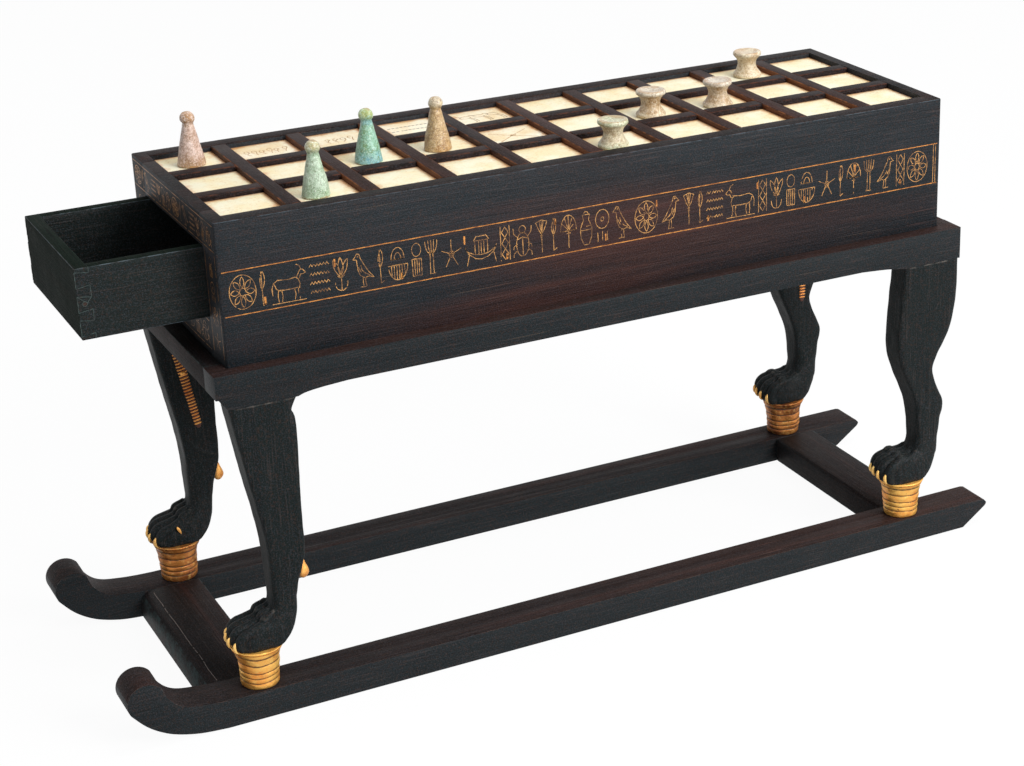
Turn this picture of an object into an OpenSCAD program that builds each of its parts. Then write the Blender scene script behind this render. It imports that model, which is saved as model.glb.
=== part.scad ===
// Senet board: a long game box with a drawer, standing loose on a framed stand with lion's legs.
// Each paw stands on a gilded drum, and the drums stand on a sledge of two runners.
// Millimetres. X runs along the board, the drawer end towards -X. Z = 0 is the floor.

/* [Board] */
// Length of the board
board_l = 460; // [420:5:500]
// Width of the board
board_w = 150; // [145:1:160]
// Height of the board
board_h = 83; // [80:1:95]
// Thickness of the long sides, which is the border seen on top
side_t = 10.5; // [9:0.5:12]
// Thickness of the end boards, which is the border seen on top
end_t = 7.5; // [6:0.5:9]
// Thickness of the board that carries the squares
top_t = 6; // [4:0.5:8]
// Thickness of the bottom board
bottom_t = 7; // [5:0.5:9]

/* [Playing squares] */
// Squares along the board
squares_long = 10; // [9:1:12]
// Rows of squares
squares_wide = 3; // [3:1:4]
// Width of the strips between the squares of a row
cross_strip_w = 8.7; // [7:0.1:10]
// Width of the strips between the rows
long_strip_w = 9; // [7:0.1:10]
// Depth of the squares below the top
square_sink = 2.8; // [2:0.1:4]
// Thickness of the ivory
ivory_t = 3; // [2:0.1:4]

/* [Drawer] */
// Width of the drawer front
drawer_w = 104; // [90:1:108]
// Height of the drawer front
drawer_h = 40; // [34:1:42]
// Length of the drawer
drawer_l = 222; // [180:2:240]
// Thickness of the drawer front and back
drawer_front_t = 7.5; // [6:0.5:9]
// Thickness of the drawer sides
drawer_side_t = 6.5; // [5:0.5:8]
// Thickness of the drawer bottom
drawer_bottom_t = 3.5; // [3:0.5:5]
// Depth of the drawer front's top edge below the top of the board
drawer_drop = 19.5; // [17:0.5:22]
// How far the drawer stands open
drawer_open = 69; // [20:1:90]
// Running clearance round the drawer
drawer_gap = 0.4; // [0.2:0.1:0.8]

/* [Stand] */
// Length of the stand's frame
frame_l = 481.2; // [460:1:520]
// How far the rails stand out past the legs' outer faces
rail_out = 0; // [0:0.5:3]
// Thickness of the rails
rail_t = 18; // [15:1:20]
// Height of the rails between the legs
rail_h = 16.6; // [14:0.2:18]
// Height of the rails over the legs
rail_corner_h = 20; // [18:0.5:24]
// Height of the head rail, and of the long rails' ends ahead of the front legs
head_rail_h = 13.3; // [12:0.1:14]
// Depth of the rebate that the board sits in
seat_depth = 1.5; // [1:0.5:3]
// Height of a leg from its sole to the frame
leg_h = 146; // [130:1:165]
// Thickness of a leg at the frame
leg_t = 18; // [16:1:20]
// Distance of the front paws from the middle of the board
front_foot_x = 228; // [222:1:232]
// Distance of the hind paws from the middle of the board
hind_foot_x = 208; // [200:1:212]

/* [Sledge] */
// Height of the runners
runner_h = 17; // [15:0.5:20]
// Width of the runners
runner_w = 23.5; // [21:0.5:24]
// How far the runners stand out past the board's sides
sledge_out = 13.5; // [11:0.5:17]
// Reach of the runners' curled fronts from the middle of the board
curl_reach = 308; // [300:1:320]
// Reach of the runners' tails from the middle of the board
tail_reach = 266.5; // [260:0.5:280]
// Height of the centre of the curled nose
curl_z = 29; // [28:0.5:33]
// Radius of the curled nose
curl_r = 11; // [10:0.5:12]
// Width of the front crossbar along the board
front_bar_w = 37.5; // [32:0.5:42]
// Width of the hind crossbar along the board
hind_bar_w = 30.5; // [26:0.5:36]

/* [Drums] */
// Height of a drum
drum_h = 25; // [20:1:30]
// Radius of a drum's rim under the paw
drum_rim_r = 15; // [14:0.5:16]
// Radius of a drum's neck
drum_neck_r = 12; // [11:0.5:13]
// Radius of a drum's foot
drum_foot_r = 10.5; // [9:0.5:12]
// Rings round a drum
drum_rings = 5; // [3:1:7]
// How far the drums and paws stand inside the runners' middle lines
foot_in = 0.75; // [0:0.25:2]

/* [Playing pieces] */
// Height of a cone
cone_h = 32; // [28:1:36]
// Radius of a cone's base
cone_r = 8; // [7:0.5:10]
// Radius of a cone's head
cone_head_r = 3.9; // [3:0.1:5]
// Height of a spool
spool_h = 16.5; // [14:0.5:20]
// Radius of a spool's ends
spool_r = 9; // [8:0.5:11]
// Radius of a spool's waist
spool_waist_r = 5.8; // [5:0.1:7]

/* [Joinery] */
// Radius of the dowels through the drums
foot_dowel_r = 3; // [2:0.5:4]
// Radius of the dowels in the board's corners
corner_dowel_r = 2; // [1.5:0.5:3]
// Length of the tenon on top of a leg
leg_tenon_l = 12; // [8:1:13]
// Length of a crossbar's tenon
bar_tenon_l = 6.5; // [4:0.5:7]
// Clearance of a fixed joint
joint_gap = 0.05; // [0.02:0.01:0.1]
// Clearance between the board and its seat, and round each square
seat_gap = 0.3; // [0.2:0.1:0.5]

/* [Hidden] */
$fn = 64;

ebony = [0.16, 0.16, 0.18];
gilt = [0.80, 0.58, 0.26];
ivory = [0.97, 0.93, 0.80];

middle_x = (curl_reach - tail_reach) / 2;
drum_z = runner_h;
sole_z = drum_z + drum_h;
rail_under = sole_z + leg_h;
rail_top = rail_under + rail_corner_h;
board_z = rail_top - seat_depth;
board_top = board_z + board_h;

head_x = board_l / 2;
end_in = head_x - end_t;
side_y = board_w / 2;
side_in = side_y - side_t;
half = leg_t / 2;
runner_y = side_y + sledge_out - runner_w / 2;
foot_y = runner_y - foot_in;
rail_y = foot_y + half + rail_out;
rail_in = rail_y - rail_t;
frame_x = frame_l / 2;

strip_h = square_sink + ivory_t;
square_z = board_top - strip_h;
square_x = (2 * end_in - (squares_long - 1) * cross_strip_w) / squares_long;
square_y = (2 * side_in - (squares_wide - 1) * long_strip_w) / squares_wide;
square_top = square_z + ivory_t;
top_z = square_z - top_t;

drawer_top = board_top - drawer_drop;
drawer_z = drawer_top - drawer_h;
hole_z = drawer_z - drawer_gap;
hole_h = drawer_h + 2 * drawer_gap;
hole_y = drawer_w / 2 + drawer_gap;
inner_z = board_z + bottom_t;
front_x = -head_x - drawer_open;

function spline_at(a, b, c, d, t) =
    (2 * b + (c - a) * t + (2 * a - 5 * b + 4 * c - d) * t * t
        + (3 * b - a - 3 * c + d) * t * t * t) / 2;
// A smooth curve through points, with n steps between each two of them
function smooth(p, n) = concat(
    [for (i = [0 : len(p) - 2], k = [0 : n - 1])
        spline_at(p[max(i - 1, 0)], p[i], p[i + 1], p[min(i + 2, len(p) - 1)], k / n)],
    [p[len(p) - 1]]);
// The points of an arc
function arc(x, y, r, from, to, n) =
    [for (i = [0 : n]) let (a = from + (to - from) * i / n) [x + r * cos(a), y + r * sin(a)]];

// Everything is drawn about the middle of the board
module place() {
    translate([middle_x, 0, 0]) children();
}
// A box from its low corner to its high corner
module block(low, high) {
    translate(low) cube(high - low);
}
// An outline in the XZ plane, given thickness from y to y + t
module slab(y, t) {
    translate([0, y + t, 0]) rotate([90, 0, 0]) linear_extrude(t) children();
}

// Sledge

// Side view of a runner: flat foot, curled front with a round nose, bevelled tail
nose_x = curl_r - curl_reach;
tail_lip = 3;
tail_bevel = 18;
runner_outline = concat(
    smooth([[nose_x + 44, 0], [nose_x + 28, 1.4], [nose_x + 15, 4.6], [nose_x + 6, 8.8],
        [nose_x - 2, 14.8], [nose_x + curl_r * cos(212), curl_z + curl_r * sin(212)]], 5),
    arc(nose_x, curl_z, curl_r, 205, 42, 24),
    smooth([[nose_x + curl_r * cos(36), curl_z + curl_r * sin(36)], [nose_x + curl_r + 0.4, curl_z],
        [nose_x + 16.2, runner_h + 6.4], [nose_x + 22.4, runner_h + 3.1], [nose_x + 32, runner_h + 1.4],
        [nose_x + 43, runner_h + 0.4], [nose_x + 54, runner_h]], 5),
    [[tail_reach - 4.5, runner_h]],
    smooth([[tail_reach - 2, runner_h - 0.6], [tail_reach, runner_h - tail_lip],
        [tail_reach - 1.2, runner_h - tail_lip - 2.2]], 3),
    [[tail_reach - tail_bevel, 0]]);
front_bar_x = 8 - front_foot_x - front_bar_w / 2;
hind_bar_x = hind_foot_x + 5;
bar_tenon_t = 7;
bar_tenon_w = 18;

module bar_tenon(x, side, gap) {
    y_in = runner_y - runner_w / 2;
    l = bar_tenon_l + 1 + gap;
    y = side > 0 ? y_in - 1 : 1 - y_in - l;
    translate([x - bar_tenon_w / 2 - gap, y, (runner_h - bar_tenon_t) / 2 - gap])
        cube([bar_tenon_w + 2 * gap, l, bar_tenon_t + 2 * gap]);
}
module runner(side) {
    difference() {
        slab(side * runner_y - runner_w / 2, runner_w) polygon(runner_outline);
        bar_tenon(front_bar_x, side, joint_gap);
        bar_tenon(hind_bar_x, side, joint_gap);
        for (x = [-front_foot_x, hind_foot_x]) foot_dowel(x, side, joint_gap);
    }
}
module crossbar(x, w, bevel) {
    y_in = runner_y - runner_w / 2;
    drop = 1.3 * bevel;
    slab(-y_in, 2 * y_in) polygon(concat([[x - w / 2, 0], [x + w / 2, 0], [x + w / 2, runner_h]],
        [for (a = [90 : -15 : 0]) [x - w / 2 + bevel * (1 - cos(a)), runner_h - drop * (1 - sin(a))]]));
    for (side = [-1, 1]) bar_tenon(x, side, 0);
}
module runner_near() color(ebony) place() runner(-1);
module runner_far() color(ebony) place() runner(1);
module crossbar_front() color(ebony) place() crossbar(front_bar_x, front_bar_w, 7);
module crossbar_hind() color(ebony) place() crossbar(hind_bar_x, hind_bar_w, 2);

// Drums and their dowels

dowel_hold = 9;
module foot_dowel(x, side, gap) {
    translate([x, side * foot_y, drum_z - dowel_hold - gap])
        cylinder(h = drum_h + 2 * (dowel_hold + gap), r = foot_dowel_r + gap);
}
// Side view of a drum: a flared rim, a neck that narrows to the foot, and rings round it
rim_lip = 1.6;
ring_pitch = (drum_h - 5) / drum_rings;
ring_swell = 0.9;
function drum_wall(z) = drum_foot_r + (drum_neck_r - drum_foot_r) * z / (drum_h - 4);
drum_outline = concat(
    [[0, 0], [drum_foot_r - 0.6, 0]],
    [for (i = [0 : drum_rings - 1], k = [0 : 5]) let (z = (i + k / 6) * ring_pitch)
        [drum_wall(z) + ring_swell * sin(30 * k), z]],
    smooth([[drum_wall(drum_h - 5), drum_h - 5], [drum_neck_r + 0.8, drum_h - 3.2],
        [drum_rim_r, drum_h - rim_lip]], 4),
    [[drum_rim_r, drum_h], [0, drum_h]]);
module drum(x, side) {
    difference() {
        translate([x, side * foot_y, drum_z]) rotate_extrude() polygon(drum_outline);
        foot_dowel(x, side, joint_gap);
    }
}
module drum_front_near() color(gilt) place() drum(-front_foot_x, -1);
module drum_front_far() color(gilt) place() drum(-front_foot_x, 1);
module drum_hind_near() color(gilt) place() drum(hind_foot_x, -1);
module drum_hind_far() color(gilt) place() drum(hind_foot_x, 1);
module foot_dowels() color("sienna") place()
    for (x = [-front_foot_x, hind_foot_x], side = [-1, 1]) foot_dowel(x, side, 0);

// Legs. Points are measured from the middle of the paw's sole, forwards being -X

// Toes, instep and the bottom of the shin, the same on every leg
paw_front = [[-14, 0], [-17, 4.5], [-17.6, 9.5], [-14.5, 14.6], [-8, 17.2], [0, 17.4]];
front_leg_outline = concat(
    smooth(concat(paw_front, [[6.5, 19.5], [9.6, 26], [9.8, 40], [8.6, 58], [5.4, 78],
        [1, 102], [-6.2, leg_h]]), 5),
    smooth([[33, leg_h], [30.2, leg_h - 5], [29.1, leg_h - 8]], 3),
    smooth([[31.2, leg_h - 14], [30.8, 108], [30, 83], [29.4, 55], [27.6, 45], [24, 37],
        [21.4, 28], [19.9, 14], [17.4, 5.5], [13.5, 0]], 5));
hind_leg_outline = concat(
    smooth(concat(paw_front, [[6.5, 19.5], [9.5, 27], [9.2, 39], [6, 50], [0.6, 62.5],
        [-5, 75], [-8.6, 88], [-8.8, 101], [-6.5, 124], [-4.5, leg_h]]), 5),
    smooth([[32.4, leg_h], [32.4, 124], [29.6, 105], [24.4, 92.5], [18.8, 83.5], [15.8, 75],
        [16.8, 67.5], [21, 58.5], [24.6, 50.5], [24.6, 44.5], [22.7, 39], [22, 28],
        [20.6, 14], [17.4, 5.5], [13.5, 0]], 5));
// Front view of a leg: half its thickness at heights above the sole
leg_halves = smooth([[10, 0], [11, 4.5], [11, 10], [9.8, 15], [7.6, 21], [6.6, 30],
    [7.2, 44], [half, 64], [half, leg_h]], 4);

toe_pitch = 5.4;
toe_cut_w = 0.9;
toe_cut_l = 15;
claw_r = 1.5;
claw_z = 4;
claw_in = 12;
claw_out = 18.6;

leg_tenon_w = 20;
leg_tenon_t = 8;
module leg_tenon(x, side, gap) {
    mid = x < 0 ? 13 : 8;
    translate([x + mid - leg_tenon_w / 2 - gap, side * foot_y - leg_tenon_t / 2 - gap, rail_under - 1])
        cube([leg_tenon_w + 2 * gap, leg_tenon_t + 2 * gap, leg_tenon_l + 1 + gap]);
}
module claw(x, side, toe, gap) {
    y = side * foot_y + (toe - 1.5) * toe_pitch;
    translate([x, y, sole_z + claw_z]) {
        translate([-claw_out + claw_r, 0, 0]) rotate([0, 90, 0])
            cylinder(h = claw_out - claw_in - claw_r + gap, r = claw_r + gap);
        translate([-claw_out + claw_r, 0, 0]) sphere(claw_r + gap);
    }
}
module leg(x, side, outline) {
    difference() {
        union() {
            intersection() {
                translate([x, side * foot_y, sole_z]) slab(-half - 4, leg_t + 8) polygon(outline);
                translate([x - 60, side * foot_y, sole_z]) rotate([90, 0, 90]) linear_extrude(120)
                    polygon(concat(leg_halves,
                        [for (i = [len(leg_halves) - 1 : -1 : 0]) [-leg_halves[i][0], leg_halves[i][1]]]));
            }
            leg_tenon(x, side, 0);
        }
        for (cut = [-1 : 1])
            translate([x - toe_cut_l - 4, side * foot_y + cut * toe_pitch - toe_cut_w / 2, sole_z - 1])
                cube([toe_cut_l, toe_cut_w, 30]);
        for (toe = [0 : 3]) claw(x, side, toe, joint_gap);
        foot_dowel(x, side, joint_gap);
        if (x < 0) dewclaw(x, side, joint_gap);
        rib_inlay(x, side, joint_gap);
    }
}
module leg_front_near() color(ebony) place() leg(-front_foot_x, -1, front_leg_outline);
module leg_front_far() color(ebony) place() leg(-front_foot_x, 1, front_leg_outline);
module leg_hind_near() color(ebony) place() leg(hind_foot_x, -1, hind_leg_outline);
module leg_hind_far() color(ebony) place() leg(hind_foot_x, 1, hind_leg_outline);
module claws() color(gilt) place()
    for (x = [-front_foot_x, hind_foot_x], side = [-1, 1], toe = [0 : 3]) claw(x, side, toe, 0);

// A drop set into the back of each front leg, over the heel
drop_h = 14;
drop_r = 3.4;
drop_x = 29.5;
drop_z = 33;
module dewclaw(x, side, gap) {
    translate([x + drop_x, side * foot_y, sole_z + drop_z - gap]) rotate_extrude()
        polygon(concat([[0, 0]],
            smooth([[1.6, 0.4], [drop_r + gap, 3.8], [2 + gap, 9], [0.8 + gap, 12.5]], 5),
            [[0, drop_h + 2 * gap]]));
}
module dewclaws() color(gilt) place() for (side = [-1, 1]) dewclaw(-front_foot_x, side, 0);

// A tapered ribbed strip let into the inner face of each leg
rib_l = 70;
rib_wide = 5.6;
rib_narrow = 3.6;
rib_count = 26;
rib_depth = 1.6;
rib_proud = 0.8;
rib_swell = 0.35;
function rib_half(t) = (rib_narrow + (rib_wide - rib_narrow) * t) / 2;
function rib_edge(gap) = [for (i = [0 : 4 * rib_count]) let (t = i / (4 * rib_count))
    [rib_half(t) + gap + (gap > 0 ? rib_swell : rib_swell * abs(sin(45 * i))), t * rib_l]];
module rib_inlay(x, side, gap) {
    edge = rib_edge(gap);
    lean = x < 0 ? 12.6 : -2;
    foot = x < 0 ? 18.2 : 11.5;
    y = side > 0 ? foot_y - half - rib_proud : -foot_y + half - rib_depth - gap;
    translate([x + foot, 0, rail_under - rib_l * cos(lean) - 3]) rotate([0, -lean, 0])
        slab(y, rib_depth + rib_proud + gap)
            polygon(concat(edge, [for (i = [len(edge) - 1 : -1 : 0]) [-edge[i][0], edge[i][1]]]));
}
module rib_inlays() color(gilt) place()
    for (x = [-front_foot_x, hind_foot_x], side = [-1, 1]) rib_inlay(x, side, 0);

// Frame of the stand

// Side view of a long rail: shallow ahead of the front leg, whose front edge it carries on upward,
// deeper over the legs, and curved up to its height behind the front leg
rail_mid_z = rail_top - rail_h;
head_rail_z = rail_top - head_rail_h;
rail_outline = concat(
    [[-frame_x, rail_top], [-frame_x, head_rail_z], [-front_foot_x - 11.2, head_rail_z],
        [-front_foot_x - 6.2, rail_under], [-front_foot_x + 33, rail_under]],
    smooth([[-front_foot_x + 33, rail_under], [-front_foot_x + 38, rail_under + 1.5],
        [-front_foot_x + 48, rail_under + 2.6], [-front_foot_x + 62, rail_mid_z]], 4),
    smooth([[hind_foot_x - 40, rail_mid_z], [hind_foot_x - 22, rail_under + 2],
        [hind_foot_x - 8, rail_under]], 4),
    [[frame_x, rail_under], [frame_x, rail_top]]);
stub_l = 8;
stub_w = 8;
stub_h = 9;
module seat() {
    block([-head_x - seat_gap, -side_y - seat_gap, board_z],
        [head_x + seat_gap, side_y + seat_gap, rail_top + 1]);
}
module end_stub(end, side, gap) {
    z = end < 0 ? head_rail_z + 2 : rail_under + 3;
    translate([end * (frame_x - rail_t / 2) - stub_w / 2 - gap,
        side > 0 ? rail_in - 1 : -rail_in - stub_l - gap, z - gap])
        cube([stub_w + 2 * gap, stub_l + 1 + gap, stub_h + 2 * gap]);
}
module long_rail(side) {
    difference() {
        slab(side > 0 ? rail_in : -rail_y, rail_t) polygon(rail_outline);
        seat();
        for (x = [-front_foot_x, hind_foot_x]) leg_tenon(x, side, joint_gap);
        for (end = [-1, 1]) end_stub(end, side, joint_gap);
    }
}
module end_rail(end) {
    difference() {
        union() {
            block([end > 0 ? frame_x - rail_t : -frame_x, -rail_in, end > 0 ? rail_under : head_rail_z],
                [end > 0 ? frame_x : rail_t - frame_x, rail_in, rail_top]);
            for (side = [-1, 1]) end_stub(end, side, 0);
        }
        seat();
    }
}
module rail_near() color(ebony) place() long_rail(-1);
module rail_far() color(ebony) place() long_rail(1);
module rail_head() color(ebony) place() end_rail(-1);
module rail_tail() color(ebony) place() end_rail(1);

// Board

corner_dowel_l = 18;
corner_dowel_in = 4.5;
corner_dowel_z = [12, board_h / 2, board_h - 14];
module corner_dowel(end, side, z, gap) {
    from = end_in + corner_dowel_in + gap;
    x = end > 0 ? from - corner_dowel_l - 2 * gap : -from;
    translate([x, side * (side_y - side_t / 2), board_z + z]) rotate([0, 90, 0])
        cylinder(h = corner_dowel_l + 2 * gap, r = corner_dowel_r + gap);
}
module corner_dowel_set(gap) {
    for (end = [-1, 1], side = [-1, 1], z = corner_dowel_z) corner_dowel(end, side, z, gap);
}
module side_board(side) {
    difference() {
        block([-end_in, side > 0 ? side_in : -side_y, board_z],
            [end_in, side > 0 ? side_y : -side_in, board_top]);
        corner_dowel_set(joint_gap);
    }
}
module side_near() color(ebony) place() side_board(-1);
module side_far() color(ebony) place() side_board(1);
module tail_board() color(ebony) place() difference() {
    block([end_in, -side_y, board_z], [head_x, side_y, board_top]);
    corner_dowel_set(joint_gap);
}
module top_rail() color(ebony) place()
    block([-head_x, -hole_y, hole_z + hole_h], [-end_in, hole_y, board_top]);
module bottom_rail() color(ebony) place() block([-head_x, -hole_y, board_z], [-end_in, hole_y, hole_z]);
module stile(side) {
    difference() {
        block([-head_x, side > 0 ? hole_y : -side_y, board_z],
            [-end_in, side > 0 ? side_y : -hole_y, board_top]);
        corner_dowel_set(joint_gap);
    }
}
module stile_near() color(ebony) place() stile(-1);
module stile_far() color(ebony) place() stile(1);
module corner_dowels() color("sienna") place() corner_dowel_set(0);
module top_board() color(ebony) place() block([-end_in, -side_in, top_z], [end_in, side_in, square_z]);
module bottom_board() color(ebony) place() block([-end_in, -side_in, board_z], [end_in, side_in, inner_z]);

// Strips between the squares, halved over each other
lap_z = square_z + strip_h / 2;
function cross_x(i) = -end_in + i * square_x + (i - 1) * cross_strip_w;
function long_y(i) = -side_in + i * square_y + (i - 1) * long_strip_w;
module long_strip_set(grow, low, high) {
    for (i = [1 : squares_wide - 1])
        block([-end_in, long_y(i) - grow, low], [end_in, long_y(i) + long_strip_w + grow, high]);
}
module cross_strip_set(grow, low, high) {
    for (i = [1 : squares_long - 1])
        block([cross_x(i) - grow, -side_in, low], [cross_x(i) + cross_strip_w + grow, side_in, high]);
}
module long_strips() color([0.24, 0.17, 0.15]) place() difference() {
    long_strip_set(0, square_z, board_top);
    cross_strip_set(joint_gap, lap_z, board_top + 1);
}
module cross_strips() color([0.24, 0.17, 0.15]) place() difference() {
    cross_strip_set(0, square_z, board_top);
    long_strip_set(joint_gap, square_z - 1, lap_z);
}
// Middle of a square, column 1 being at the drawer end and row 1 at the near side
function square_mid(column, row) = [
    -end_in + (column - 0.5) * square_x + (column - 1) * cross_strip_w,
    -side_in + (row - 0.5) * square_y + (row - 1) * long_strip_w];
marked = [[2, 3], [3, 3], [4, 3], [5, 3], [5, 2]];
function is_marked(column, row) = len([for (m = marked) if (m[0] == column && m[1] == row) 1]) > 0;
module square_at(column, row) {
    mid = square_mid(column, row);
    w = square_x - seat_gap;
    d = square_y - seat_gap;
    translate([mid[0] - w / 2, mid[1] - d / 2, square_z]) cube([w, d, ivory_t]);
}
module plain_squares() color(ivory) place()
    for (column = [1 : squares_long], row = [1 : squares_wide])
        if (!is_marked(column, row)) square_at(column, row);
module marked_squares() color([0.93, 0.86, 0.68]) place() for (m = marked) square_at(m[0], m[1]);

// What the drawer runs on inside the board
runner_bar_w = 20;
guide_l = 2 * end_in - 20;
stop_t = 8;
stop_h = 12;
module drawer_runners() color(ebony) place() for (side = [-1, 1])
    block([-end_in, side > 0 ? side_in - runner_bar_w : -side_in, inner_z],
        [guide_l - end_in, side > 0 ? side_in : runner_bar_w - side_in, drawer_z]);
module drawer_guides() color(ebony) place() for (side = [-1, 1])
    block([-end_in, side > 0 ? hole_y : -side_in, drawer_z],
        [guide_l - end_in, side > 0 ? side_in : -hole_y, drawer_top]);
module drawer_stop() color(ebony) place()
    block([drawer_l - head_x + drawer_gap, -side_in + runner_bar_w, inner_z],
        [drawer_l - head_x + drawer_gap + stop_t, side_in - runner_bar_w, drawer_z + stop_h]);

// Drawer

tail_count = 3;
tail_spread = 1.2;
tail_h = drawer_h / (2 * tail_count);
tail_root = 1;
function turned(p) = [for (i = [len(p) - 1 : -1 : 0]) p[i]];
// Side view of one row of dovetails that reach from x to x + reach, rooted in the board behind x
module dovetails(x, reach) {
    root = x - tail_root * sign(reach);
    for (i = [0 : tail_count - 1]) {
        z = drawer_z + (2 * i + 1) * tail_h;
        tail = [[root, z - tail_h / 2], [x, z - tail_h / 2],
            [x + reach, z - tail_h / 2 - tail_spread], [x + reach, z + tail_h / 2 + tail_spread],
            [x, z + tail_h / 2], [root, z + tail_h / 2]];
        polygon(reach > 0 ? tail : turned(tail));
    }
}
back_x = front_x + drawer_l;
drawer_y = drawer_w / 2;
module drawer_side(side) {
    slab(side > 0 ? drawer_y - drawer_side_t : -drawer_y, drawer_side_t) {
        translate([front_x + drawer_front_t, drawer_z])
            square([drawer_l - 2 * drawer_front_t, drawer_h]);
        dovetails(front_x + drawer_front_t, -drawer_front_t);
        dovetails(back_x - drawer_front_t, drawer_front_t);
    }
}
module drawer_end(x) {
    difference() {
        block([x, -drawer_y, drawer_z], [x + drawer_front_t, drawer_y, drawer_top]);
        for (side = [-1, 1]) drawer_side(side);
        drawer_peg_set(joint_gap);
        drawer_panel();
    }
}
// The bottom is held in a groove all round
groove = 2.5;
groove_z = drawer_z + 2.5;
module drawer_panel() {
    block([front_x + drawer_front_t - groove, -drawer_y + drawer_side_t - groove, groove_z],
        [back_x - drawer_front_t + groove, drawer_y - drawer_side_t + groove, groove_z + drawer_bottom_t]);
}
peg_r = 1.25;
peg_l = 16;
peg_z = drawer_z + drawer_h / 2;
module drawer_peg_set(gap) {
    for (side = [-1, 1], x = [front_x + drawer_front_t / 2, back_x - drawer_front_t / 2])
        translate([x, side > 0 ? drawer_y - peg_l - gap : -drawer_y - gap, peg_z]) rotate([-90, 0, 0])
            cylinder(h = peg_l + 2 * gap, r = peg_r + gap);
}
module bored_drawer_side(side) {
    difference() {
        drawer_side(side);
        drawer_peg_set(joint_gap);
        drawer_panel();
    }
}
module drawer_front() color(ebony) place() drawer_end(front_x);
module drawer_back() color(ebony) place() drawer_end(back_x - drawer_front_t);
module drawer_side_near() color(ebony) place() bored_drawer_side(-1);
module drawer_side_far() color(ebony) place() bored_drawer_side(1);
module drawer_bottom() color(ebony) place() drawer_panel();
module drawer_pegs() color("sienna") place() drawer_peg_set(0);

// Playing pieces

cone_outline = concat(
    [[0, 0], [cone_r - 0.6, 0]],
    smooth([[cone_r, 0.8], [cone_r * 0.86, cone_h * 0.28], [cone_r * 0.58, cone_h * 0.56],
        [cone_head_r * 0.84, cone_h * 0.74]], 5),
    smooth([[cone_head_r * 0.98, cone_h * 0.79], [cone_head_r, cone_h * 0.87],
        [cone_head_r * 0.72, cone_h * 0.96], [0, cone_h]], 5));
spool_outline = concat(
    [[0, 0], [spool_r - 0.8, 0]],
    smooth([[spool_r, 0.9], [spool_r * 0.95, spool_h * 0.18], [spool_waist_r, spool_h * 0.42],
        [spool_waist_r * 0.98, spool_h * 0.6], [spool_r * 0.9, spool_h * 0.82],
        [spool_r, spool_h * 0.91], [spool_r * 0.9, spool_h]], 5),
    [[0, spool_h]]);
// A piece stands on a square, off the square's middle by an offset
module piece(column, row, off, outline) {
    mid = square_mid(column, row) + off;
    translate([mid[0], mid[1], square_top]) rotate_extrude() polygon(outline);
}
module cone_pink() color([0.74, 0.60, 0.47]) place() piece(1, 3, [0, -3], cone_outline);
module cone_green() color([0.60, 0.65, 0.52]) place() piece(2, 1, [-5, -4], cone_outline);
module cone_turquoise() color([0.30, 0.58, 0.52]) place() piece(3, 2, [-2, -5], cone_outline);
module cone_tan() color([0.66, 0.56, 0.42]) place() piece(4, 2, [-4, -3], cone_outline);
module spool_green() color([0.72, 0.71, 0.60]) place() piece(6, 1, [-6, -6], spool_outline);
module spool_cream() color([0.82, 0.77, 0.66]) place() piece(7, 2, [-2, -6], spool_outline);
module spool_white() color([0.85, 0.82, 0.74]) place() piece(8, 2, [-2, -8], spool_outline);
module spool_brown() color([0.80, 0.74, 0.62]) place() piece(9, 3, [4, -2], spool_outline);

runner_near();
runner_far();
crossbar_front();
crossbar_hind();
drum_front_near();
drum_front_far();
drum_hind_near();
drum_hind_far();
leg_front_near();
leg_front_far();
leg_hind_near();
leg_hind_far();
foot_dowels();
claws();
dewclaws();
rib_inlays();
rail_near();
rail_far();
rail_head();
rail_tail();
side_near();
side_far();
tail_board();
top_rail();
bottom_rail();
stile_near();
stile_far();
top_board();
bottom_board();
corner_dowels();
long_strips();
cross_strips();
plain_squares();
marked_squares();
drawer_runners();
drawer_guides();
drawer_stop();
drawer_front();
drawer_back();
drawer_side_near();
drawer_side_far();
drawer_bottom();
drawer_pegs();
cone_pink();
cone_green();
cone_turquoise();
cone_tan();
spool_green();
spool_cream();
spool_white();
spool_brown();
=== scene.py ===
import math
import random

import bmesh
import bpy
import numpy as np
from mathutils import Matrix, Vector, noise


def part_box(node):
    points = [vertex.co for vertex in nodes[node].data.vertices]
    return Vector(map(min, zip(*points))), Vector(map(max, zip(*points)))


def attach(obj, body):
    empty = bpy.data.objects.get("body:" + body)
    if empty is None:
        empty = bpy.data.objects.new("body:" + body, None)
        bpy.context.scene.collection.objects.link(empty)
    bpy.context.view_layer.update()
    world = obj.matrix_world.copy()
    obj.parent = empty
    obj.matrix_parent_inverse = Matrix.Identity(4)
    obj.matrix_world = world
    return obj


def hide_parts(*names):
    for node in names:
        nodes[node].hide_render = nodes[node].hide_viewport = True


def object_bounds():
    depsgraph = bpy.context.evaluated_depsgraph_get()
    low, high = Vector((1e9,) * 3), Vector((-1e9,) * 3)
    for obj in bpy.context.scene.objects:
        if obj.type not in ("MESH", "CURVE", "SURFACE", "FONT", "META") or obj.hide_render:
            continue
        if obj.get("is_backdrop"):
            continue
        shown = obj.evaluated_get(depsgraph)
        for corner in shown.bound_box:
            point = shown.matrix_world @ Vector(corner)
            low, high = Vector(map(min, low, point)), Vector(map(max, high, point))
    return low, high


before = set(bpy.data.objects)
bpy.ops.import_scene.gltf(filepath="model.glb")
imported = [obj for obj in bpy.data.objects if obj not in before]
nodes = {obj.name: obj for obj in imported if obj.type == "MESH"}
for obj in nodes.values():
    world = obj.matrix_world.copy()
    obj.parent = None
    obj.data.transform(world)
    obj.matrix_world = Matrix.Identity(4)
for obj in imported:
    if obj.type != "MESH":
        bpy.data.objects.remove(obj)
cad_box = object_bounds()
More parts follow.
